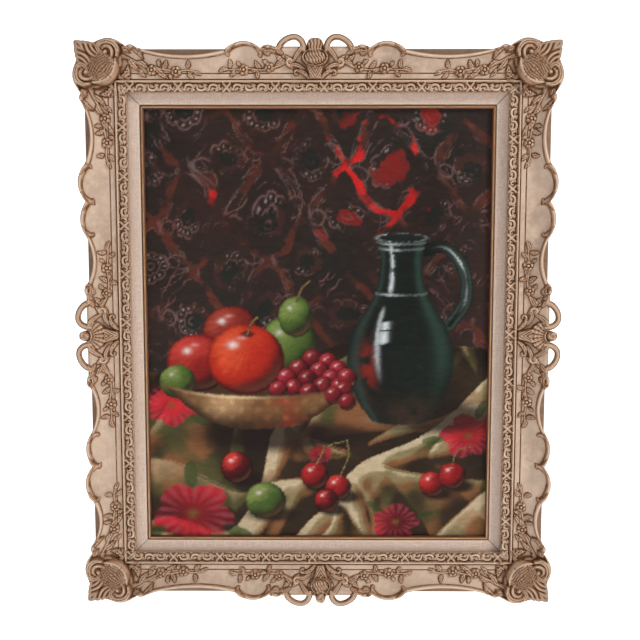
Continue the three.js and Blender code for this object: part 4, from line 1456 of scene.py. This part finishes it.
def foreground(picture):
    """Loose cherries, a plum and a green fruit on the cloth."""
    loose = [(-4, -176, 16.5), (24, -190, 15.5), (10, -206, 14.5)]
    loose += [(134, -186, 15), (158, -176, 16), (-96, -166, 19)]
    for x, z, size in loose:
        shade(picture, (x + 0.5 * size, z - 0.75 * size), 1.5 * size, 0.65 * size, 0.95)
    for number, (x, z, size) in enumerate(loose):
        body = (0.07, 0.004, 0.006) if number % 3 == 2 else (0.22, 0.008, 0.010)
        lit = (0.62, 0.040, 0.036) if number % 2 else (0.45, 0.02, 0.02)
        fruit(picture, (x, z), size, ((0.014, 0.002, 0.003), body, lit), 401 + 7 * number)
    stalks = [[(-2, -162), (10, -142), (34, -134)], [(26, -177), (36, -152), (34, -134)]]
    stalks += [[(158, -162), (164, -146), (180, -140)]]
    for stalk in stalks:
        trail(picture, stalk, 0.9, (0.07, 0.045, 0.015), (0.25, 0.18, 0.07))
    shade(picture, (-54, -222), 40, 12, 0.9)
    green = ((0.012, 0.016, 0.006), (0.062, 0.110, 0.020), (0.24, 0.29, 0.08))
    fruit(picture, (-62, -206), 24, green, 451, 0.92, 0.7)


def painted(x, z):
    """The picture's colours at points of the canvas: a still life with a jug and a dish of fruit."""
    picture = Picture(x, z)
    hanging(picture)
    table_cloth(picture)
    jug(picture)
    dish(picture)
    foreground(picture)
    hair = clouds(x * 0.35, z, 2.6, 501, 2)
    picture.dim(0.84 + 0.32 * hair)
    return np.clip(picture.paint, 0, 1)


# The canvas


def painted_canvas():
    """Satin acrylic over a woven ground, with the bare cotton where it folds back."""
    look = Finish("painted_canvas")
    fine, hairs = look.noise(900, 3, 0.6), look.noise(260, 4, 0.6, (0.35, 1, 1))
    bare = look.value("bare")
    cotton = look.coats(
        (0.62, 0.54, 0.42),
        (look.span(fine, 0.3, 0.7), (0.50, 0.42, 0.31)),
        (look.span(look.noise(30, 4), 0.45, 0.75, 0, 0.4), (0.36, 0.27, 0.17)),
    )
    color = look.coats(
        look.tint("paint"),
        (look.span(fine, 0.35, 0.7, 0, 0.25), (0.012, 0.008, 0.006)),
        (look.span(hairs, 0.5, 0.8, 0, 0.02), (0.30, 0.22, 0.17)),
        (bare, cotton),
    )
    gloss = look.math("ADD", look.span(hairs, 0.3, 0.7, 0.30, 0.46), look.times("bare", 0.45))
    skin = look.bump(look.weave(420, 0.8), 0.00012, look.bump(hairs, 0.00035))
    return look.finish(color, gloss, skin, Specular_IOR_Level=0.12)


def canvas_piece(material):
    """The stretched sheet: painted front, sides turned back over the bars and folded in behind them."""
    step, thick, fold, bend, slack, margin = 1.56, 0.7, 26, 1.2, 0.12, 1
    back = CANVAS_FRONT - (canvas_high.y - canvas_low.y) / MM
    wide, tall = CANVAS_WIDTH - bend, CANVAS_HEIGHT - bend
    lines = []
    for half, sight in ((wide, SIGHT_WIDTH + margin), (tall, SIGHT_HEIGHT + margin)):
        lines.append(np.concatenate([[-half], np.arange(-sight, sight + step / 2, step), [half]]))
    x, z = np.meshgrid(*lines)
    tension = slack * np.cos(np.pi * x / (2 * wide)) * np.cos(np.pi * z / (2 * tall))
    front = np.stack([x, CANVAS_FRONT - tension, z], axis=-1).reshape(-1, 3)
    faces = sheet_faces(*x.shape)

    # the outline of the front, then rings from it round the bend, the side, the fold and the inner face
    grid = np.arange(len(front)).reshape(x.shape)
    before = np.concatenate([grid[0, :-1], grid[:-1, -1], grid[-1, :0:-1], grid[:0:-1, 0]])
    rings = [(bend + reach, CANVAS_FRONT - bend + rise) for reach, rise in arc((-bend, 0), bend, 60, 0, 2)]
    rings += [(bend, back + 0.2), (bend - 0.5, back - thick), (bend - fold, back - thick)]
    rings += [(bend - fold, back - 0.05), (bend - thick, back - 0.05), (bend - thick, CANVAS_FRONT - thick)]
    points, rim = front, front[before]
    for out, height in rings:
        ring = rim * [(wide + out) / wide, 0, (tall + out) / tall] + [0, height, 0]
        here = np.arange(len(points), len(points) + len(ring))
        faces += np.column_stack([before, np.roll(before, -1), np.roll(here, -1), here]).tolist()
        points = np.vstack([points, ring])
        before = here
    faces.append(before.tolist())

    paint = np.zeros((len(points), 4))
    paint[:, 3] = 1
    paint[: len(front), :3] = painted(x.ravel(), z.ravel())
    bare = np.ones(len(points))
    bare[: len(front)] = 1 - (smooth(wide - np.abs(x), 0, 1) * smooth(tall - np.abs(z), 0, 1)).ravel()
    placed = np.column_stack([MIDDLE.x + MM * points[:, 0], -MM * points[:, 1], MIDDLE.z + MM * points[:, 2]])
    values = {"paint": paint, "bare": bare}
    piece = add_piece("painted_canvas", placed, faces, material, "canvas", values)


add_camera()
add_studio()
cloth, gold = linen(), gilt()
creams = {0: antique_cream("x"), 1: antique_cream("z")}
woods = {0: pine("x"), 1: pine("z")}
for name, rail in RAILS.items():
    carved_rail(name, rail, creams[rail["turn"] % 2])
    liner_piece(name, rail, cloth)
    slip_piece(name, rail, gold)
    stretcher_piece(name, rail, woods[rail["turn"] % 2])
canvas_piece(painted_canvas())
